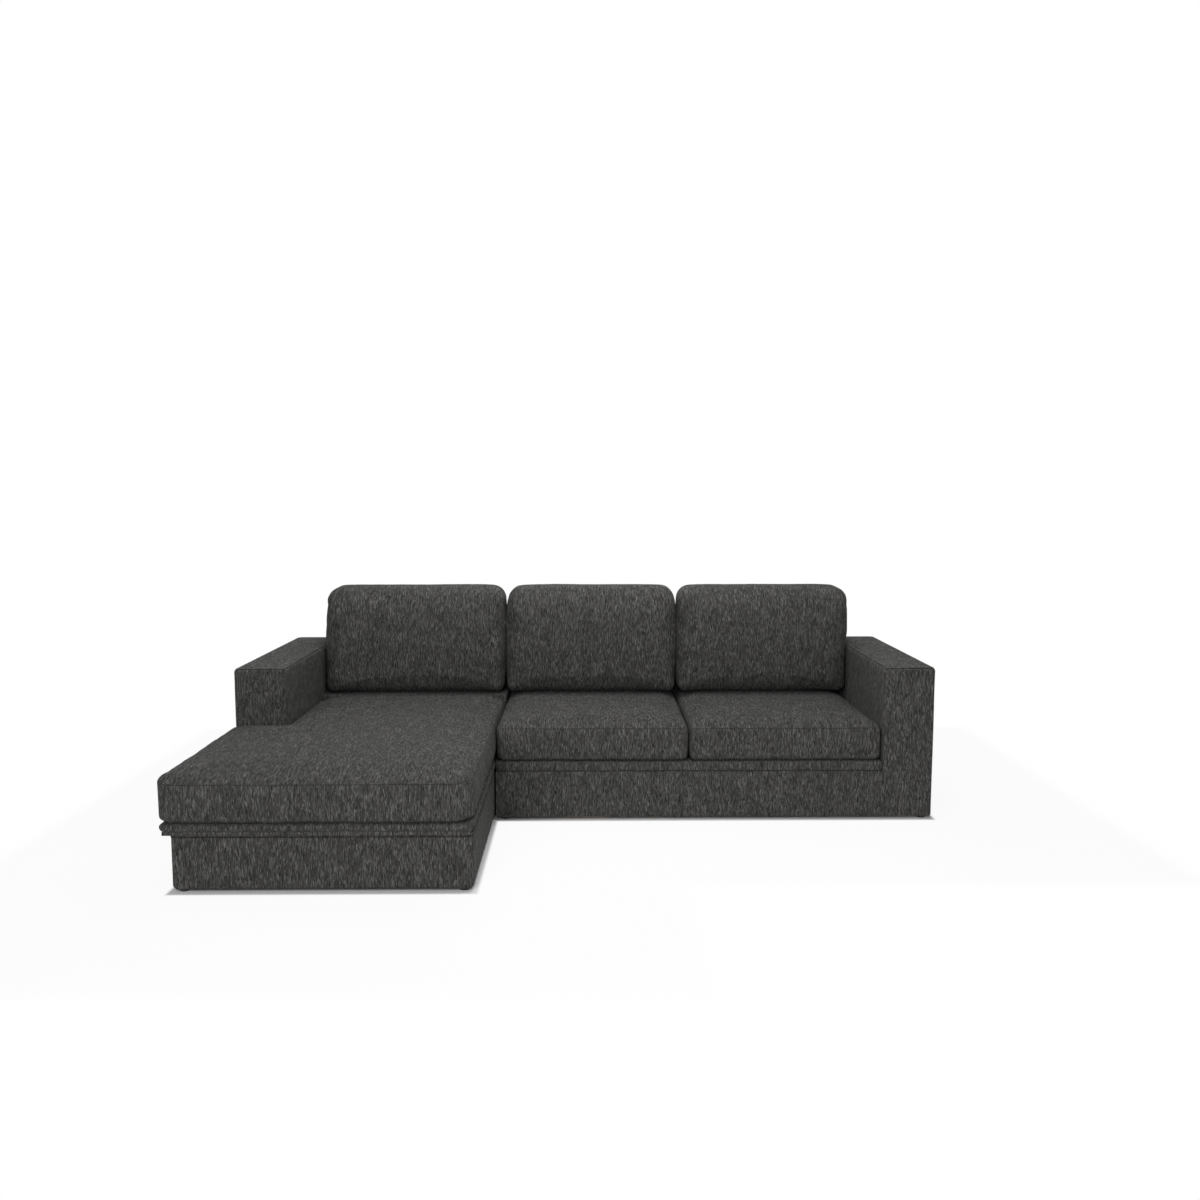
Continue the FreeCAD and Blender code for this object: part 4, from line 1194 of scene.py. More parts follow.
def arm_seam_run(low, high, outer_side, sizes, inset, height):
    """A closed run round the top panel of an arm, at an inset from its outline."""
    corners = [
        (low[0] + inset, low[1] + inset), (high[0] - inset, low[1] + inset),
        (high[0] - inset, high[1] - inset), (low[0] + inset, high[1] - inset),
    ]
    front = max(sizes.edge_radius - inset, 0.002)
    rear = [0.003, 0.003]
    rear[outer_side] = max(sizes.arm_rear_radius - inset, 0.002)
    outline = round_outline(corners, (front, front, rear[1], rear[0]), 0.004)
    return [(point.x, point.y, height) for point in outline]


class SOFA_OT_right_arm(SofaStep):
    """Covers the right arm and the seat's front rail, whose front is one panel"""
    bl_idname = "sofa.right_arm"
    bl_label = "Cover the right arm and front rail"

    def execute(self, context):
        sizes = context.scene.sofa_sizes
        low, high = corners_of("right_arm_top_cover", "right_arm_outer_cover")
        rail_low, rail_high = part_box("seat_front_rail")
        rail_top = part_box("seat_deck_pad")[0][2] - 0.0004
        form = shell_of_cells(
            (rail_low[0], low[0], high[0]),
            (low[1], rail_high[1], high[1]),
            (low[2], rail_top, high[2]),
            {(0, 0, 0), (1, 0, 0), (1, 1, 0), (1, 0, 1), (1, 1, 1)},
        )
        round_corners(form, sizes.arm_rear_radius, 6, lambda place: (
            near(place.x, high[0]) and near(place.y, high[1])
        ), 2)
        round_corners(form, sizes.edge_radius, 4, lambda place: (
            near(place.x, high[0]) and near(place.y, low[1])
        ), 2)
        round_corners(form, sizes.edge_radius, 4, lambda place: (
            near(place.x, low[0]) and near(place.y, low[1]) and place.z > rail_top - 0.01
        ), 2)
        round_corners(form, sizes.edge_radius, 4, lambda place: near(place.z, high[2]))
        round_corners(form, sizes.edge_radius * 0.4, 3, lambda place: (
            near(place.z, rail_top) and near(place.y, low[1]) and place.x < low[0] + 1e-4
        ), 0)
        round_corners(form, sizes.bottom_radius, 3, lambda place: (
            near(place.z, low[2]) and (place.y < low[1] + 0.03 or place.x > low[0] + 0.01)
        ))
        open_faces(form, lambda middle, normal: normal.z < -STRAIGHT)
        open_faces(form, lambda middle, normal: normal.y > STRAIGHT and middle.x < low[0])
        refine(form)
        finish_arm(form, sizes, low, high, low[0] + sizes.edge_radius * ARM_SEAM_SHARE, 2)
        finish_cover(
            form, "right_arm_and_rail_upholstery", "sofa", 2, sizes.cover_thickness,
            "right_arm_top_cover", "right_arm_outer_cover", "right_arm_inner_cover", "loveseat_front_cover",
        )
        return {"FINISHED"}


class SOFA_OT_backs(SofaStep):
    """Covers the back frames of both modules"""
    bl_idname = "sofa.backs"
    bl_label = "Cover the back frames"

    def execute(self, context):
        sizes = context.scene.sofa_sizes
        for module, seed in (("chaise", 3), ("loveseat", 4)):
            nodes = (f"{module}_back_cover", f"{module}_rear_cover")
            low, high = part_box(nodes[0])
            rear_low, rear_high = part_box(nodes[1])
            form = shell_of_cells(
                (low[0], high[0]), (low[1], rear_high[1]), (rear_low[2], low[2], high[2]),
                {(0, 0, 0), (0, 0, 1)},
            )
            round_corners(form, sizes.edge_radius, 4, lambda place: near(place.z, high[2]))
            round_corners(form, sizes.bottom_radius, 3, lambda place: (
                near(place.z, rear_low[2]) and near(place.y, rear_high[1])
            ))
            open_faces(form, lambda middle, normal: normal.z < -STRAIGHT)
            open_faces(form, lambda middle, normal: normal.y < -STRAIGHT and middle.z < low[2])
            refine(form)
            soften(form, SOFTNESS, seed)
            sew(form, 2, high[2] - 0.03, sizes, lambda middle, normal: (
                normal.y > 0.5 and high[2] - 0.05 < middle.z < high[2] - 0.01
            ))
            finish_cover(form, f"{module}_back_upholstery", "sofa", seed, sizes.cover_thickness, *nodes)
        return {"FINISHED"}


class SOFA_OT_chaise_box(SofaStep):
    """Covers the chaise's storage box"""
    bl_idname = "sofa.chaise_box"
    bl_label = "Cover the chaise box"

    def execute(self, context):
        sizes = context.scene.sofa_sizes
        low, high = corners_of("box_cover", "box_front_panel")
        arm_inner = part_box("box_arm_side_panel")[0][0]
        sofa_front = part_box("box_return_panel")[1][1]
        form = shell_of_cells(
            (low[0], arm_inner, high[0]), (low[1], sofa_front, high[1]), (low[2], high[2]),
            {(0, 0, 0), (1, 0, 0), (1, 1, 0)},
        )
        round_corners(form, sizes.box_corner_radius, 6, lambda place: near(place.y, low[1]), 2)
        round_corners(form, sizes.box_bottom_radius, 5, lambda place: (
            near(place.z, low[2])
            and (place.y < sofa_front - 1e-4 or near(place.x, high[0]) or near(place.x, low[0]))
        ))
        open_faces(form, lambda middle, normal: abs(normal.z) > STRAIGHT)
        open_faces(form, lambda middle, normal: normal.y > STRAIGHT)
        open_faces(form, lambda middle, normal: normal.x < -STRAIGHT and middle.x > low[0] + 0.05)
        refine(form)
        soften(form, 0.001, 5)
        sew(form, 2, high[2] - BOX_SEAM_DROP, sizes, lambda middle, normal: middle.z > high[2] - 0.03)
        finish_cover(form, "chaise_box_upholstery", "sofa", 5, sizes.cover_thickness, "box_cover")
        return {"FINISHED"}


def wing_corner():
    """The inner corner of the L that the lid and its cushion make round the left arm's front."""
    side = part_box("left_arm_inner_cover")[1][0]
    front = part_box("left_arm_front_cover")[0][1]
    return side + ARM_SIDE_GAP, front - ARM_FRONT_GAP


def chaise_plan(left, low, high, wing):
    """The L in plan, from its front left corner on."""
    return [
        (left, low[1]), (high[0], low[1]), (high[0], high[1]), (wing[0], high[1]), wing, (left, wing[1]),
    ]


def offset_outline(outline, inset):
    """The outline moved inwards by an inset at every point."""
    moved = []
    count = len(outline)
    for index, point in enumerate(outline):
        before = (point - outline[index - 1]).normalized()
        after = (outline[(index + 1) % count] - point).normalized()
        way = (before + after).normalized()
        moved.append(point + Vector((-way.y, way.x)) * inset)
    return moved


def split_long_runs(outline, step):
    """More points on the straight runs, so that the form can be softened there."""
    points = []
    for first, second in zip(outline, outline[1:] + outline[:1]):
        parts = max(1, round((second - first).length / step))
        points += [first.lerp(second, part / parts) for part in range(parts)]
    return points


def nose_profile(bottom, top, lower_reach, upper_reach, steps):
    """Inset and level up a padded edge: a deep curve below its foremost line, a tighter one above."""
    middle = bottom + (top - bottom) * 0.58
    profile = []
    for step in range(-steps, steps + 1):
        angle = math.pi / 2 * step / steps
        reach, rise = (lower_reach, middle - bottom) if step < 0 else (upper_reach, top - middle)
        profile.append((reach * (1 - math.cos(angle)), middle + rise * math.sin(angle)))
    return profile


class SOFA_OT_lid(SofaStep):
    """Covers the chaise lid with a padded band that overhangs the box"""
    bl_idname = "sofa.lid"
    bl_label = "Cover the chaise lid"

    def execute(self, context):
        low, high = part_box("lid_cover")
        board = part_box("lid_board")
        wing = wing_corner()
        radii = (0.026, 0.022, 0.014, 0.014, 0.004, 0.014)
        outline = split_long_runs(round_outline(chaise_plan(low[0], low, high, wing), radii, 0.004), 0.03)
        board_inset = board[0][0] - low[0]
        middle = (board[0][2] + high[2]) / 2
        form = bmesh.new()
        rings = []
        shift = noise_shift(LID_CUT)
        bottom = board[1][2] - 0.0004
        top = high[2] - 0.0002
        for inset, level in nose_profile(bottom, top, board_inset + 0.004, 0.0125, 6):
            ring = []
            for point in offset_outline(outline, inset):
                spot = Vector((point.x, point.y, level))
                waver = 0.0016 * noise.noise(spot * 6 + shift) + 0.0006 * noise.noise(spot * 28 + shift)
                drop = waver * 0.5 * (1 - abs(level - middle) / (high[2] - middle))
                ring.append(form.verts.new((point.x, point.y, level + drop)))
            rings.append(ring)
        for lower, upper in zip(rings, rings[1:]):
            for index in range(len(lower)):
                onward = (index + 1) % len(lower)
                form.faces.new((lower[index], lower[onward], upper[onward], upper[index]))
        form.faces.new(rings[-1])
        form.faces.new(list(reversed(rings[0])))
        finish_cover(form, "lid_upholstery", "lid", LID_CUT, 0.0, "lid_cover")
        self.wrap_board(board, wing, board_inset)
        return {"FINISHED"}

    def wrap_board(self, board, wing, board_inset):
        """Cloth round the edge of the board that shows below the band."""
        proud = 0.0006
        form = shell_of_cells(
            (board[0][0] - proud, wing[0] + board_inset + proud, board[1][0] + proud),
            (board[0][1] - proud, wing[1] - board_inset + proud, board[1][1] + proud),
            (board[0][2] - 0.0001, board[1][2]),
            {(0, 0, 0), (1, 0, 0), (1, 1, 0)},
        )
        open_faces(form, lambda middle, normal: abs(normal.z) > STRAIGHT)
        finish_cover(form, "lid_edge_cloth", "lid", 10, proud * 0.8)


class SOFA_OT_deck(SofaStep):
    """Makes the padded deck under the seat cushions and the ledge behind the lid"""
    bl_idname = "sofa.deck"
    bl_label = "Pad the seat deck and the ledge"

    def execute(self, context):
        low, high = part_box("seat_deck_pad")
        form = shell_of_cells((low[0], high[0]), (low[1], high[1]), (low[2], high[2]), {(0, 0, 0)})
        for level in (low[2], high[2]):
            round_corners(form, 0.013, 5, lambda place: near(place.x, high[0]) and near(place.z, level), 1)
        round_corners(form, 0.009, 4, lambda place: near(place.y, low[1]))
        self.finish_pad(form, "seat_deck_padding", "seat_deck_pad", 7)

        # The ledge's cloth runs down over the panel behind the lid.
        low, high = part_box("chaise_rear_ledge")
        apron_front = low[1] - 0.0016
        apron_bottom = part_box("lid_board")[0][2]
        form = shell_of_cells(
            (low[0], high[0]), (apron_front, low[1], high[1]), (apron_bottom, low[2], high[2]),
            {(0, 0, 0), (0, 0, 1), (0, 1, 1)},
        )
        round_corners(form, 0.009, 4, lambda place: (
            near(place.y, apron_front) and near(place.z, high[2])
        ), 0)
        self.finish_pad(form, "chaise_ledge_padding", "chaise_rear_ledge", 8)
        return {"FINISHED"}

    def finish_pad(self, form, name, node, seed):
        refine(form)
        piece = finish_cover(form, name, "sofa", seed, 0.0, node)


def finish_cushion(cushion, nodes, core, seam_runs, stitch_runs):
    """Cloth, filling, seam folds and stitches of one stuffed cushion."""
    dress(cushion.piece, cushion.body, "upholstery", "tweed", nodes[0])
    core_of(cushion, f"{cushion.name}_filling", *core, nodes[1])
    lay_seam_cord(f"{cushion.name}_seams", seam_runs, CUSHION_CORD, cushion.body)
    sew_stitches(f"{cushion.name}_stitches", stitch_runs, cushion.body)


def stuff_boxed_cushion(cushion, sizes, edge, limit, seed, cover, foam):
    """Stuff a foam cushion with an upper and a lower seam."""
    height = cushion.height
    seams = box_seams(height, edge)
    stuff_cushion(cushion, sizes, sizes.seat_pressure, sizes.seat_swell, edge, seams, limit, seed)
    runs = [cushion.run_round(0.0, height, CORD_SUNK)]
    stitches = [cushion.run_round(STITCH_ASIDE, height), cushion.run_round(0.0, height - STITCH_ASIDE)]
    finish_cushion(cushion, (cover, foam), (FOAM_INSET, "foam", "cushion_foam"), runs, stitches)


def box_seams(height, edge):
    """Distance of a rest place to the upper and lower seams of a boxed cushion."""
    def distance(rest, inside):
        upper = np.hypot(inside, height - rest[:, 2])
        lower = np.hypot(np.maximum(inside - edge * 0.3, 0.0), rest[:, 2] - edge * 0.3)
        return np.minimum(upper, lower)
    return distance


class SOFA_OT_chaise_cushion(SofaStep):
    """Stuffs the L-shaped chaise cushion, whose wing lies in front of the left arm"""
    bl_idname = "sofa.chaise_cushion"
    bl_label = "Stuff the chaise cushion"

    def execute(self, context):
        sizes = context.scene.sofa_sizes
        low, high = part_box("chaise_cushion_cover")
        wing_x, wing_y = wing_corner()
        height = high[2] - low[2]
        left = low[0] - 0.010
        corners = chaise_plan(left, low, high, (wing_x, wing_y))
        falls = [
            (corners[0], corners[1], 0.028, 0.12, FALL_POWER),
            (corners[0], corners[5], 0.013, 0.07, FALL_POWER),
            (corners[1], corners[2], 0.026, 0.10, FALL_POWER),
            (corners[5], corners[4], 0.012, 0.06, FALL_POWER),
            (corners[4], corners[3], 0.010, 0.05, FALL_POWER),
            ((wing_x, high[1] - 0.06), corners[3], 0.022, 0.10, FALL_POWER),
        ]
        cushion = Cushion(
            "chaise_cushion", corners, (0.055, 0.072, 0.026, 0.016, 0.012, 0.02),
            height, crowned_top(height, falls), Matrix.Translation((0, 0, low[2])), "lid",
        )

        def limit(places):
            outside = (places[:, 0] < wing_x - 1e-6) & (places[:, 1] > wing_y)
            across = wing_x - places[:, 0]
            beyond = places[:, 1] - wing_y
            places[:, 1] = np.where(outside & (beyond <= across), wing_y, places[:, 1])
            places[:, 0] = np.where(outside & (beyond > across), wing_x, places[:, 0])
            places[:, 0] = np.clip(places[:, 0], low[0] - CHAISE_LEFT_BULGE, high[0])
            places[:, 1] = np.clip(places[:, 1], low[1] - FRONT_BULGE, high[1])
            places[:, 2] = np.clip(places[:, 2], low[2], high[2] + CROWN)
            return places

        stuff_boxed_cushion(
            cushion, sizes, 0.02, limit, 11, "chaise_cushion_cover", "chaise_cushion_foam"
        )
        return {"FINISHED"}


class SOFA_OT_seat_cushions(SofaStep):
    """Stuffs the two seat cushions"""
    bl_idname = "sofa.seat_cushions"
    bl_label = "Stuff the seat cushions"

    def execute(self, context):
        sizes = context.scene.sofa_sizes
        back_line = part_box("middle_back_cushion_cover")[0][1]
        for side, seed in (("left", 12), ("right", 13)):
            low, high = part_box(f"{side}_seat_cushion_cover")
            height = high[2] - low[2]
            corners = [(low[0], low[1]), (high[0], low[1]), (high[0], high[1]), (low[0], high[1])]
            falls = [
                (corners[0], corners[1], 0.027, 0.11, FALL_POWER),
                (corners[1], corners[2], 0.024, 0.10, FALL_POWER),
                (corners[3], corners[0], 0.024, 0.10, FALL_POWER),
            ]
            name = f"{side}_seat_cushion"
            cushion = Cushion(
                name, corners, (0.022, 0.022, 0.02, 0.02), height, crowned_top(height, falls),
                Matrix.Translation((0, 0, low[2])), name,
            )
            limit = seat_room(low, high, high[2] - 0.0002, back_line)
            stuff_boxed_cushion(cushion, sizes, 0.016, limit, seed, f"{name}_cover", f"{name}_foam")
        return {"FINISHED"}


class SOFA_OT_back_cushions(SofaStep):
    """Stuffs the three back cushions"""
    bl_idname = "sofa.back_cushions"
    bl_label = "Stuff the back cushions"

    def execute(self, context):
        sizes = context.scene.sofa_sizes
        arm_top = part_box("right_arm_top_cover")[1][2]
        for side, seed in (("left", 14), ("middle", 15), ("right", 16)):
            low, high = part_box(f"{side}_back_cushion_cover")
            rise = high[2] - low[2]
            depth = high[1] - low[1]
            over_arm = OVER_ARM if side == "right" else 0.0
            crest = high[2] - 0.006
            corners = [
                (low[0], low[2]), (high[0], low[2]),
                (high[0] + over_arm * 0.6, crest), (low[0] + 0.004, crest),
            ]
            upper = crowned_top(0.0, [(corners[2], corners[3], 0.014, 0.10, 2.0)])

            def top(places, inside, upper=upper, depth=depth, rise=rise, low=low):
                share = np.clip((places[:, 1] - low[2]) / rise, 0.0, 1.0)
                face = depth - BACK_LEAN * share ** 1.5 + 0.012 * np.sin(math.pi * share)
                return face - 0.030 * smooth_fall(inside, 0.045, 2.6) + upper(places, inside)

            turn = Matrix(((1, 0, 0, 0), (0, 0, -1, high[1]), (0, 1, 0, 0), (0, 0, 0, 1)))
            name = f"{side}_back_cushion"
            cushion = Cushion(name, corners, (0.034, 0.034, 0.062, 0.062), depth, top, turn, name)

            def seams(rest, inside, depth=depth):
                return np.hypot(inside, rest[:, 2] - depth * 0.5)

            def limit(places, low=low, high=high, over_arm=over_arm):
                bulge = over_arm * np.clip((places[:, 2] - arm_top - 0.02) / 0.08, 0.0, 1.0)
                places[:, 0] = np.clip(places[:, 0], low[0], high[0] + bulge)
                places[:, 1] = np.clip(places[:, 1], low[1] - 0.012, high[1])
                places[:, 2] = np.clip(places[:, 2], low[2], high[2] + 0.008)
                return places

            stuff_cushion(cushion, sizes, sizes.back_pressure, sizes.back_swell, 0.02, seams, limit, seed)
            runs = [cushion.run_round(0.0, depth * 0.5, CORD_SUNK)]
            stitches = [
                cushion.run_round(0.0, depth * 0.5 + aside) for aside in (STITCH_ASIDE, -STITCH_ASIDE)
            ]
            core = (FIBRE_INSET, "fibre", "fibre_filling")
            finish_cushion(cushion, (f"{name}_cover", f"{name}_fibre"), core, runs, stitches)
        return {"FINISHED"}


class SOFA_OT_springs(SofaStep):
    """Bends the seat springs from round wire"""
    bl_idname = "sofa.springs"
    bl_label = "Bend the seat springs"

    def execute(self, context):
        sizes = context.scene.sofa_sizes
        low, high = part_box("seat_springs")
        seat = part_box("seat_front_rail")
        step = (seat[1][0] - seat[0][0]) / (sizes.spring_count + 1)
        tree = make_spring_tree(bpy.data.materials["spring_wire"])
        item = add_object("seat_springs_wire", bpy.data.meshes.new("seat_springs_wire"))
        item.data.from_pydata([(0, 0, 0)], [], [])
        give_tree(item, tree, {
            "Count": sizes.spring_count,
            "Spacing": step,
            "First": (seat[0][0] + step, low[1] + sizes.wire_radius, (low[2] + high[2]) / 2),
            "Length": high[1] - low[1] - sizes.wire_radius * 2,
            "Turns": float(sizes.spring_turns),
            "Half width": SPRING_HALF_WIDTH,
            "Wire radius": sizes.wire_radius,
        })
        piece = as_mesh_piece(item, "seat_spring_wires")
        dress(piece, "sofa", "spring_wire", "spring_wire", "seat_springs")
        return {"FINISHED"}


def make_spring_tree(material):
    """Sinuous springs: one wire that winds from side to side, repeated across the seat."""
    tree, given, result = new_geometry(
        "sinuous_springs", (("Count", "NodeSocketInt"), ("First", "NodeSocketVector")),
        ("Spacing", "Length", "Turns", "Half width", "Wire radius"),
    )
    reach = add_node(tree, "ShaderNodeCombineXYZ")
    feed(tree, reach.inputs[1], given["Length"])
    line = add_node(tree, "GeometryNodeCurvePrimitiveLine")
    feed(tree, line.inputs["End"], reach.outputs[0])
    fine = add_node(tree, "GeometryNodeResampleCurve", mode="COUNT")
    feed(tree, fine.inputs["Curve"], line.outputs[0])
    feed(tree, fine.inputs["Count"], SPRING_POINTS)
    share = add_node(tree, "GeometryNodeSplineParameter").outputs["Factor"]
    angle = times(tree, times(tree, share, given["Turns"]), math.tau)
    wave = reckon(tree, "TANH", times(tree, reckon(tree, "SINE", angle), BEND_SHARPNESS))
    aside = times(tree, reckon(tree, "DIVIDE", wave, math.tanh(BEND_SHARPNESS)), given["Half width"])
    offset = add_node(tree, "ShaderNodeCombineXYZ")
    feed(tree, offset.inputs[0], aside)
    bent = add_node(tree, "GeometryNodeSetPosition")
    feed(tree, bent.inputs["Geometry"], fine.outputs[0])
    feed(tree, bent.inputs["Offset"], offset.outputs[0])
    section = add_node(tree, "GeometryNodeCurvePrimitiveCircle", mode="RADIUS")
    feed(tree, section.inputs["Resolution"], 8)
    feed(tree, section.inputs["Radius"], given["Wire radius"])
    wire = add_node(tree, "GeometryNodeCurveToMesh")
    feed(tree, wire.inputs["Curve"], bent.outputs[0])
    feed(tree, wire.inputs["Profile Curve"], section.outputs[0])
    feed(tree, wire.inputs["Fill Caps"], True)
    apart = add_node(tree, "ShaderNodeCombineXYZ")
    feed(tree, apart.inputs[0], given["Spacing"])
    row = add_node(tree, "GeometryNodeMeshLine", mode="OFFSET")
    feed(tree, row.inputs["Count"], given["Count"])
    feed(tree, row.inputs["Start Location"], given["First"])
    feed(tree, row.inputs["Offset"], apart.outputs[0])
    place = add_node(tree, "GeometryNodeInstanceOnPoints")
    feed(tree, place.inputs["Points"], row.outputs[0])
    feed(tree, place.inputs["Instance"], wire.outputs[0])
    return join_instances(tree, result, place.outputs[0], material)


class SOFA_OT_frame_seams(SofaStep):
    """Folds and stitches along the seams of the arms and the chaise box"""
    bl_idname = "sofa.frame_seams"
    bl_label = "Sew the frame seams"

    def execute(self, context):
        sizes = context.scene.sofa_sizes
        radius = sizes.edge_radius
        sunk = radius * (1 - math.sqrt(1 - (1 - ARM_SEAM_SHARE) ** 2))
        folds = []
        stitches = []
        for node, outer_side in (("left_arm_top_cover", 0), ("right_arm_top_cover", 1)):
            low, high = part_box(node)
            level = high[2] - sunk - 0.0002
            folds.append(arm_seam_run(low, high, outer_side, sizes, radius * ARM_SEAM_SHARE, level))
            stitches.append(arm_seam_run(low, high, outer_side, sizes, radius + 0.006, high[2]))
        lay_seam_cord("arm_seam_folds", folds, ARM_CORD, "sofa")
        sew_stitches("arm_stitches", stitches, "sofa")
        low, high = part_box("box_cover")
        sofa_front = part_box("box_return_panel")[1][1]
        level = high[2] - BOX_SEAM_DROP
        corners = [(low[0], sofa_front), (low[0], low[1]), (high[0], low[1]), (high[0], high[1])]
        turn = sizes.box_corner_radius
        outline = round_outline(corners, (0.001, turn, turn, 0.001), 0.004)
        run = [(point.x, point.y, level) for point in outline[2:-2]]
        lay_seam_cord("chaise_box_seam_fold", [run], BOX_CORD, "sofa", False)
        return {"FINISHED"}


class SOFA_OT_underside(SofaStep):
    """Thin black cloth under the chaise box, the arms and the rails"""
    bl_idname = "sofa.underside"
    bl_label = "Close the underside"

    def execute(self, context):
        box_low, box_high = corners_of("box_cover", "box_front_panel")
        sofa_low, sofa_high = corners_of("chaise_rear_cover", "loveseat_front_cover")
        seat_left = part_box("seat_front_rail")[0][0]
        bottom = box_low[2]
        tuck = 0.012
        along = (box_low[1] + tuck, sofa_low[1] + tuck, sofa_high[1] - tuck)
        thick = (bottom - 0.0008, bottom - 0.0002)
        modules = (
            ("chaise_underside", (sofa_low[0] + tuck, box_low[0] + tuck, box_high[0] - tuck),
             {(1, 0, 0), (0, 1, 0), (1, 1, 0)}),
            ("loveseat_underside", (seat_left + tuck, seat_left + tuck * 2, sofa_high[0] - tuck),
             {(0, 1, 0), (1, 1, 0)}),
        )
        for name, across, filled in modules:
            form = shell_of_cells(across, along, thick, filled)
            refine(form, 0.1)
            dress(finish_form(form, name), "sofa", "dust_cloth", "dust_cloth_black")
        return {"FINISHED"}


FLOOR_REACH = 14.0
# Where each lamp stands, the point it faces, and its width
LAMPS = {
    "top_lamp": ((0.1, 0.0, 2.8), (0.0, 0.2, 0.3), 3.0),
    "front_lamp": ((-1.2, -5.0, 2.6), (0.0, 0.0, 0.4), 3.4),
    "side_lamp": ((2.6, -4.6, 1.6), (0.0, 0.0, 0.4), 2.6),
    "rear_lamp": ((0.0, 2.6, 2.4), (0.0, 0.5, 0.7), 2.0),
}
CAMERA_PLACE = (0.0125, -4.1566, 1.320)
CAMERA_FORWARD = (0.010587, 0.994566, -0.103567)


class SOFA_OT_stage(SofaStep):
    """Sets the floor, the lamps, the sky and the camera"""
    bl_idname = "sofa.stage"
    bl_label = "Set the stage"

    def execute(self, context):
        scene = context.scene
        stage = scene.sofa_stage
        floor_mesh = bpy.data.meshes.new("studio_floor")
        reach = FLOOR_REACH
        corners = [(-reach, -reach, 0), (reach, -reach, 0), (reach, reach, 0), (-reach, reach, 0)]
        floor_mesh.from_pydata(corners, [], [(0, 1, 2, 3)])
        floor = add_object("studio_floor", floor_mesh)
        floor_mesh.materials.append(make_floor(scene.sofa_colours.floor))
        for name, setting in LAMPS.items():
            add_soft_lamp(name, *setting, getattr(stage, name))
        make_sky(scene, stage.sky)
        camera = add_object("camera", bpy.data.cameras.new("camera"))
        camera.data.lens = stage.lens
        camera.data.sensor_width = 36.0
        camera.location = CAMERA_PLACE
        camera.rotation_euler = Vector(CAMERA_FORWARD).to_track_quat("-Z", "Y").to_euler()
        camera.data.clip_end = 100.0
        scene.camera = camera
        scene.view_settings.view_transform = "Standard"
        return {"FINISHED"}


def add_soft_lamp(name, place, aim, size, power):
    """A round lamp that faces a point of the sofa."""
    lamp = bpy.data.lights.new(name, "AREA")
    lamp.shape = "DISK"
    lamp.size = size
    lamp.energy = power
    item = add_object(name, lamp)
    item.location = place
    item.rotation_euler = (Vector(aim) - Vector(place)).to_track_quat("-Z", "Y").to_euler()


def seen_directly(tree):
    """1 for camera, glossy and transmission rays."""
    path = add_node(tree, "ShaderNodeLightPath").outputs
    seen = reckon(tree, "MAXIMUM", path["Is Camera Ray"], path["Is Glossy Ray"])
    return reckon(tree, "MAXIMUM", seen, path["Is Transmission Ray"])


def outside_box(tree, place, middle, half):
    """How far a place on the floor lies outside an upright box, below 0 inside it."""
    split = split_vector(tree, place)
    gaps = []
    for axis in range(2):
        away = reckon(tree, "ABSOLUTE", minus(tree, split[axis], middle[axis]))
        gaps.append(minus(tree, away, half[axis]))
    return reckon(tree, "MAXIMUM", *gaps)


# Middle and half size of what each part of the sofa covers of the floor
SEATS_ON_FLOOR = ((0.0, 0.395), (1.4, 0.465))
CHAISE_ON_FLOOR = ((-0.87, -0.45), (0.5, 0.38))


def make_floor(tone):
    """Pale floor: nearly white to the eye beside the sofa, plain white away from it, dark under it."""
    material, tree, shader = new_material("studio_floor")
    mottle = cloud(tree, own_place(tree), 3.0, 3.0, 0.5)
    feed(tree, shader.inputs["Base Color"], blend_colours(tree, mottle, scaled(tone, 0.98), tuple(tone)))
    shader.inputs["Roughness"].default_value = 0.9
    shader.inputs["Specular IOR Level"].default_value = 0.1
    white = add_node(tree, "ShaderNodeEmission")
    white.inputs["Color"].default_value = (1, 1, 1, 1)
    blend = add_node(tree, "ShaderNodeMixShader")
    seats = outside_box(tree, own_place(tree), *SEATS_ON_FLOOR)
    chaise = outside_box(tree, own_place(tree), *CHAISE_ON_FLOOR)
    outside = reckon(tree, "MINIMUM", seats, chaise)
    beside = ease(tree, outside, 0.004, 0.020, 0.0, 0.93)
    whiteness = reckon(tree, "MAXIMUM", beside, ease(tree, outside, 0.0, 0.8))
    feed(tree, blend.inputs[0], times(tree, seen_directly(tree), whiteness))
    feed(tree, blend.inputs[1], shader.outputs[0])
    feed(tree, blend.inputs[2], white.outputs[0])
    feed(tree, tree.nodes["Material Output"].inputs["Surface"], blend.outputs[0])
    return material


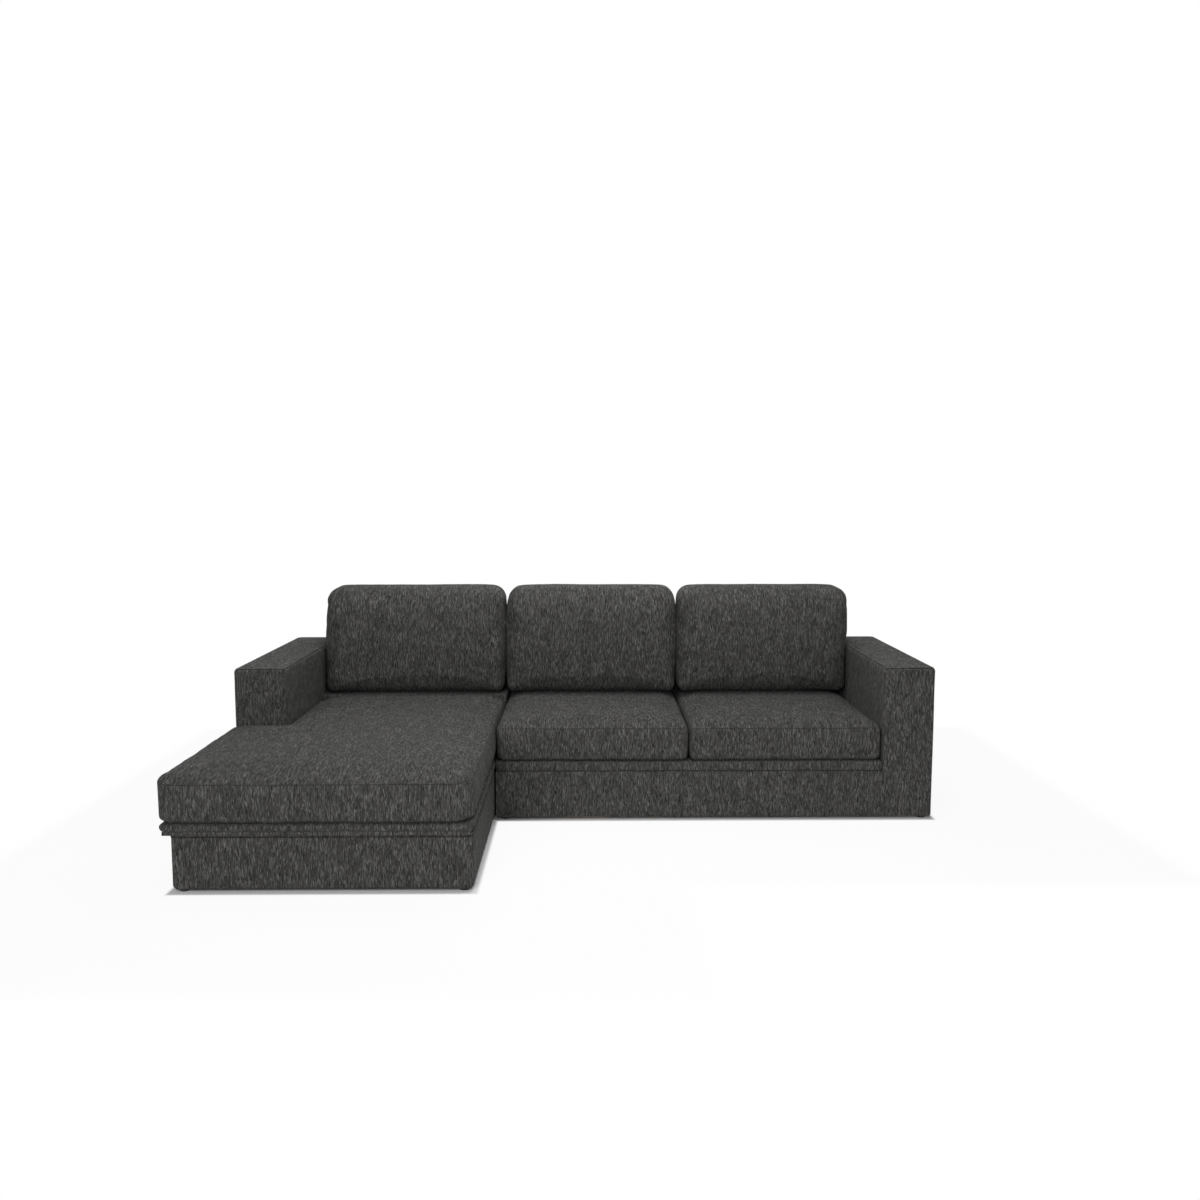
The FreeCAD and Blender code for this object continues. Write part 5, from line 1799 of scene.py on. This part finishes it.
def make_sky(scene, strength):
    """Even light all round, and plain white where the camera or a gloss sees it."""
    world = bpy.data.worlds.new("studio_sky")
    scene.world = world
    world.use_nodes = True
    tree = world.node_tree
    soft = tree.nodes["Background"]
    soft.inputs["Color"].default_value = (1, 1, 1, 1)
    soft.inputs["Strength"].default_value = strength
    plain = add_node(tree, "ShaderNodeBackground")
    plain.inputs["Color"].default_value = (1, 1, 1, 1)
    blend = add_node(tree, "ShaderNodeMixShader")
    feed(tree, blend.inputs[0], seen_directly(tree))
    feed(tree, blend.inputs[1], soft.outputs[0])
    feed(tree, blend.inputs[2], plain.outputs[0])
    feed(tree, tree.nodes["World Output"].inputs["Surface"], blend.outputs[0])


STEPS = (
    SOFA_OT_finishes,
    SOFA_OT_left_arm,
    SOFA_OT_right_arm,
    SOFA_OT_backs,
    SOFA_OT_chaise_box,
    SOFA_OT_lid,
    SOFA_OT_deck,
    SOFA_OT_chaise_cushion,
    SOFA_OT_seat_cushions,
    SOFA_OT_back_cushions,
    SOFA_OT_springs,
    SOFA_OT_frame_seams,
    SOFA_OT_underside,
    SOFA_OT_stage,
)


class SOFA_PT_panel(bpy.types.Panel):
    """Sizes, colours and steps of the sofa"""
    bl_idname = "SOFA_PT_panel"
    bl_label = "Sectional sofa"
    bl_space_type = "VIEW_3D"
    bl_region_type = "UI"
    bl_category = SIDEBAR_TAB

    def draw(self, context):
        layout = self.layout
        for group in (context.scene.sofa_sizes, context.scene.sofa_colours, context.scene.sofa_stage):
            box = layout.box()
            for name in group.bl_rna.properties.keys():
                if name not in ("rna_type", "name"):
                    box.prop(group, name)
        for step in STEPS:
            layout.operator(step.bl_idname)


SETTINGS = (SofaSizes, SofaColours, StageSettings)


def register():
    for item in (*SETTINGS, *STEPS, SOFA_PT_panel):
        bpy.utils.register_class(item)
    bpy.types.Scene.sofa_sizes = PointerProperty(type=SofaSizes)
    bpy.types.Scene.sofa_colours = PointerProperty(type=SofaColours)
    bpy.types.Scene.sofa_stage = PointerProperty(type=StageSettings)


def unregister():
    for name in ("sofa_sizes", "sofa_colours", "sofa_stage"):
        delattr(bpy.types.Scene, name)
    for item in reversed((*SETTINGS, *STEPS, SOFA_PT_panel)):
        bpy.utils.unregister_class(item)


def main():
    register()
    for step in STEPS:
        group, name = step.bl_idname.split(".")
        result = getattr(getattr(bpy.ops, group), name)()
        if result != {"FINISHED"}:
            raise RuntimeError(f"{step.bl_label} did not finish")


if __name__ == "__main__":
    main()
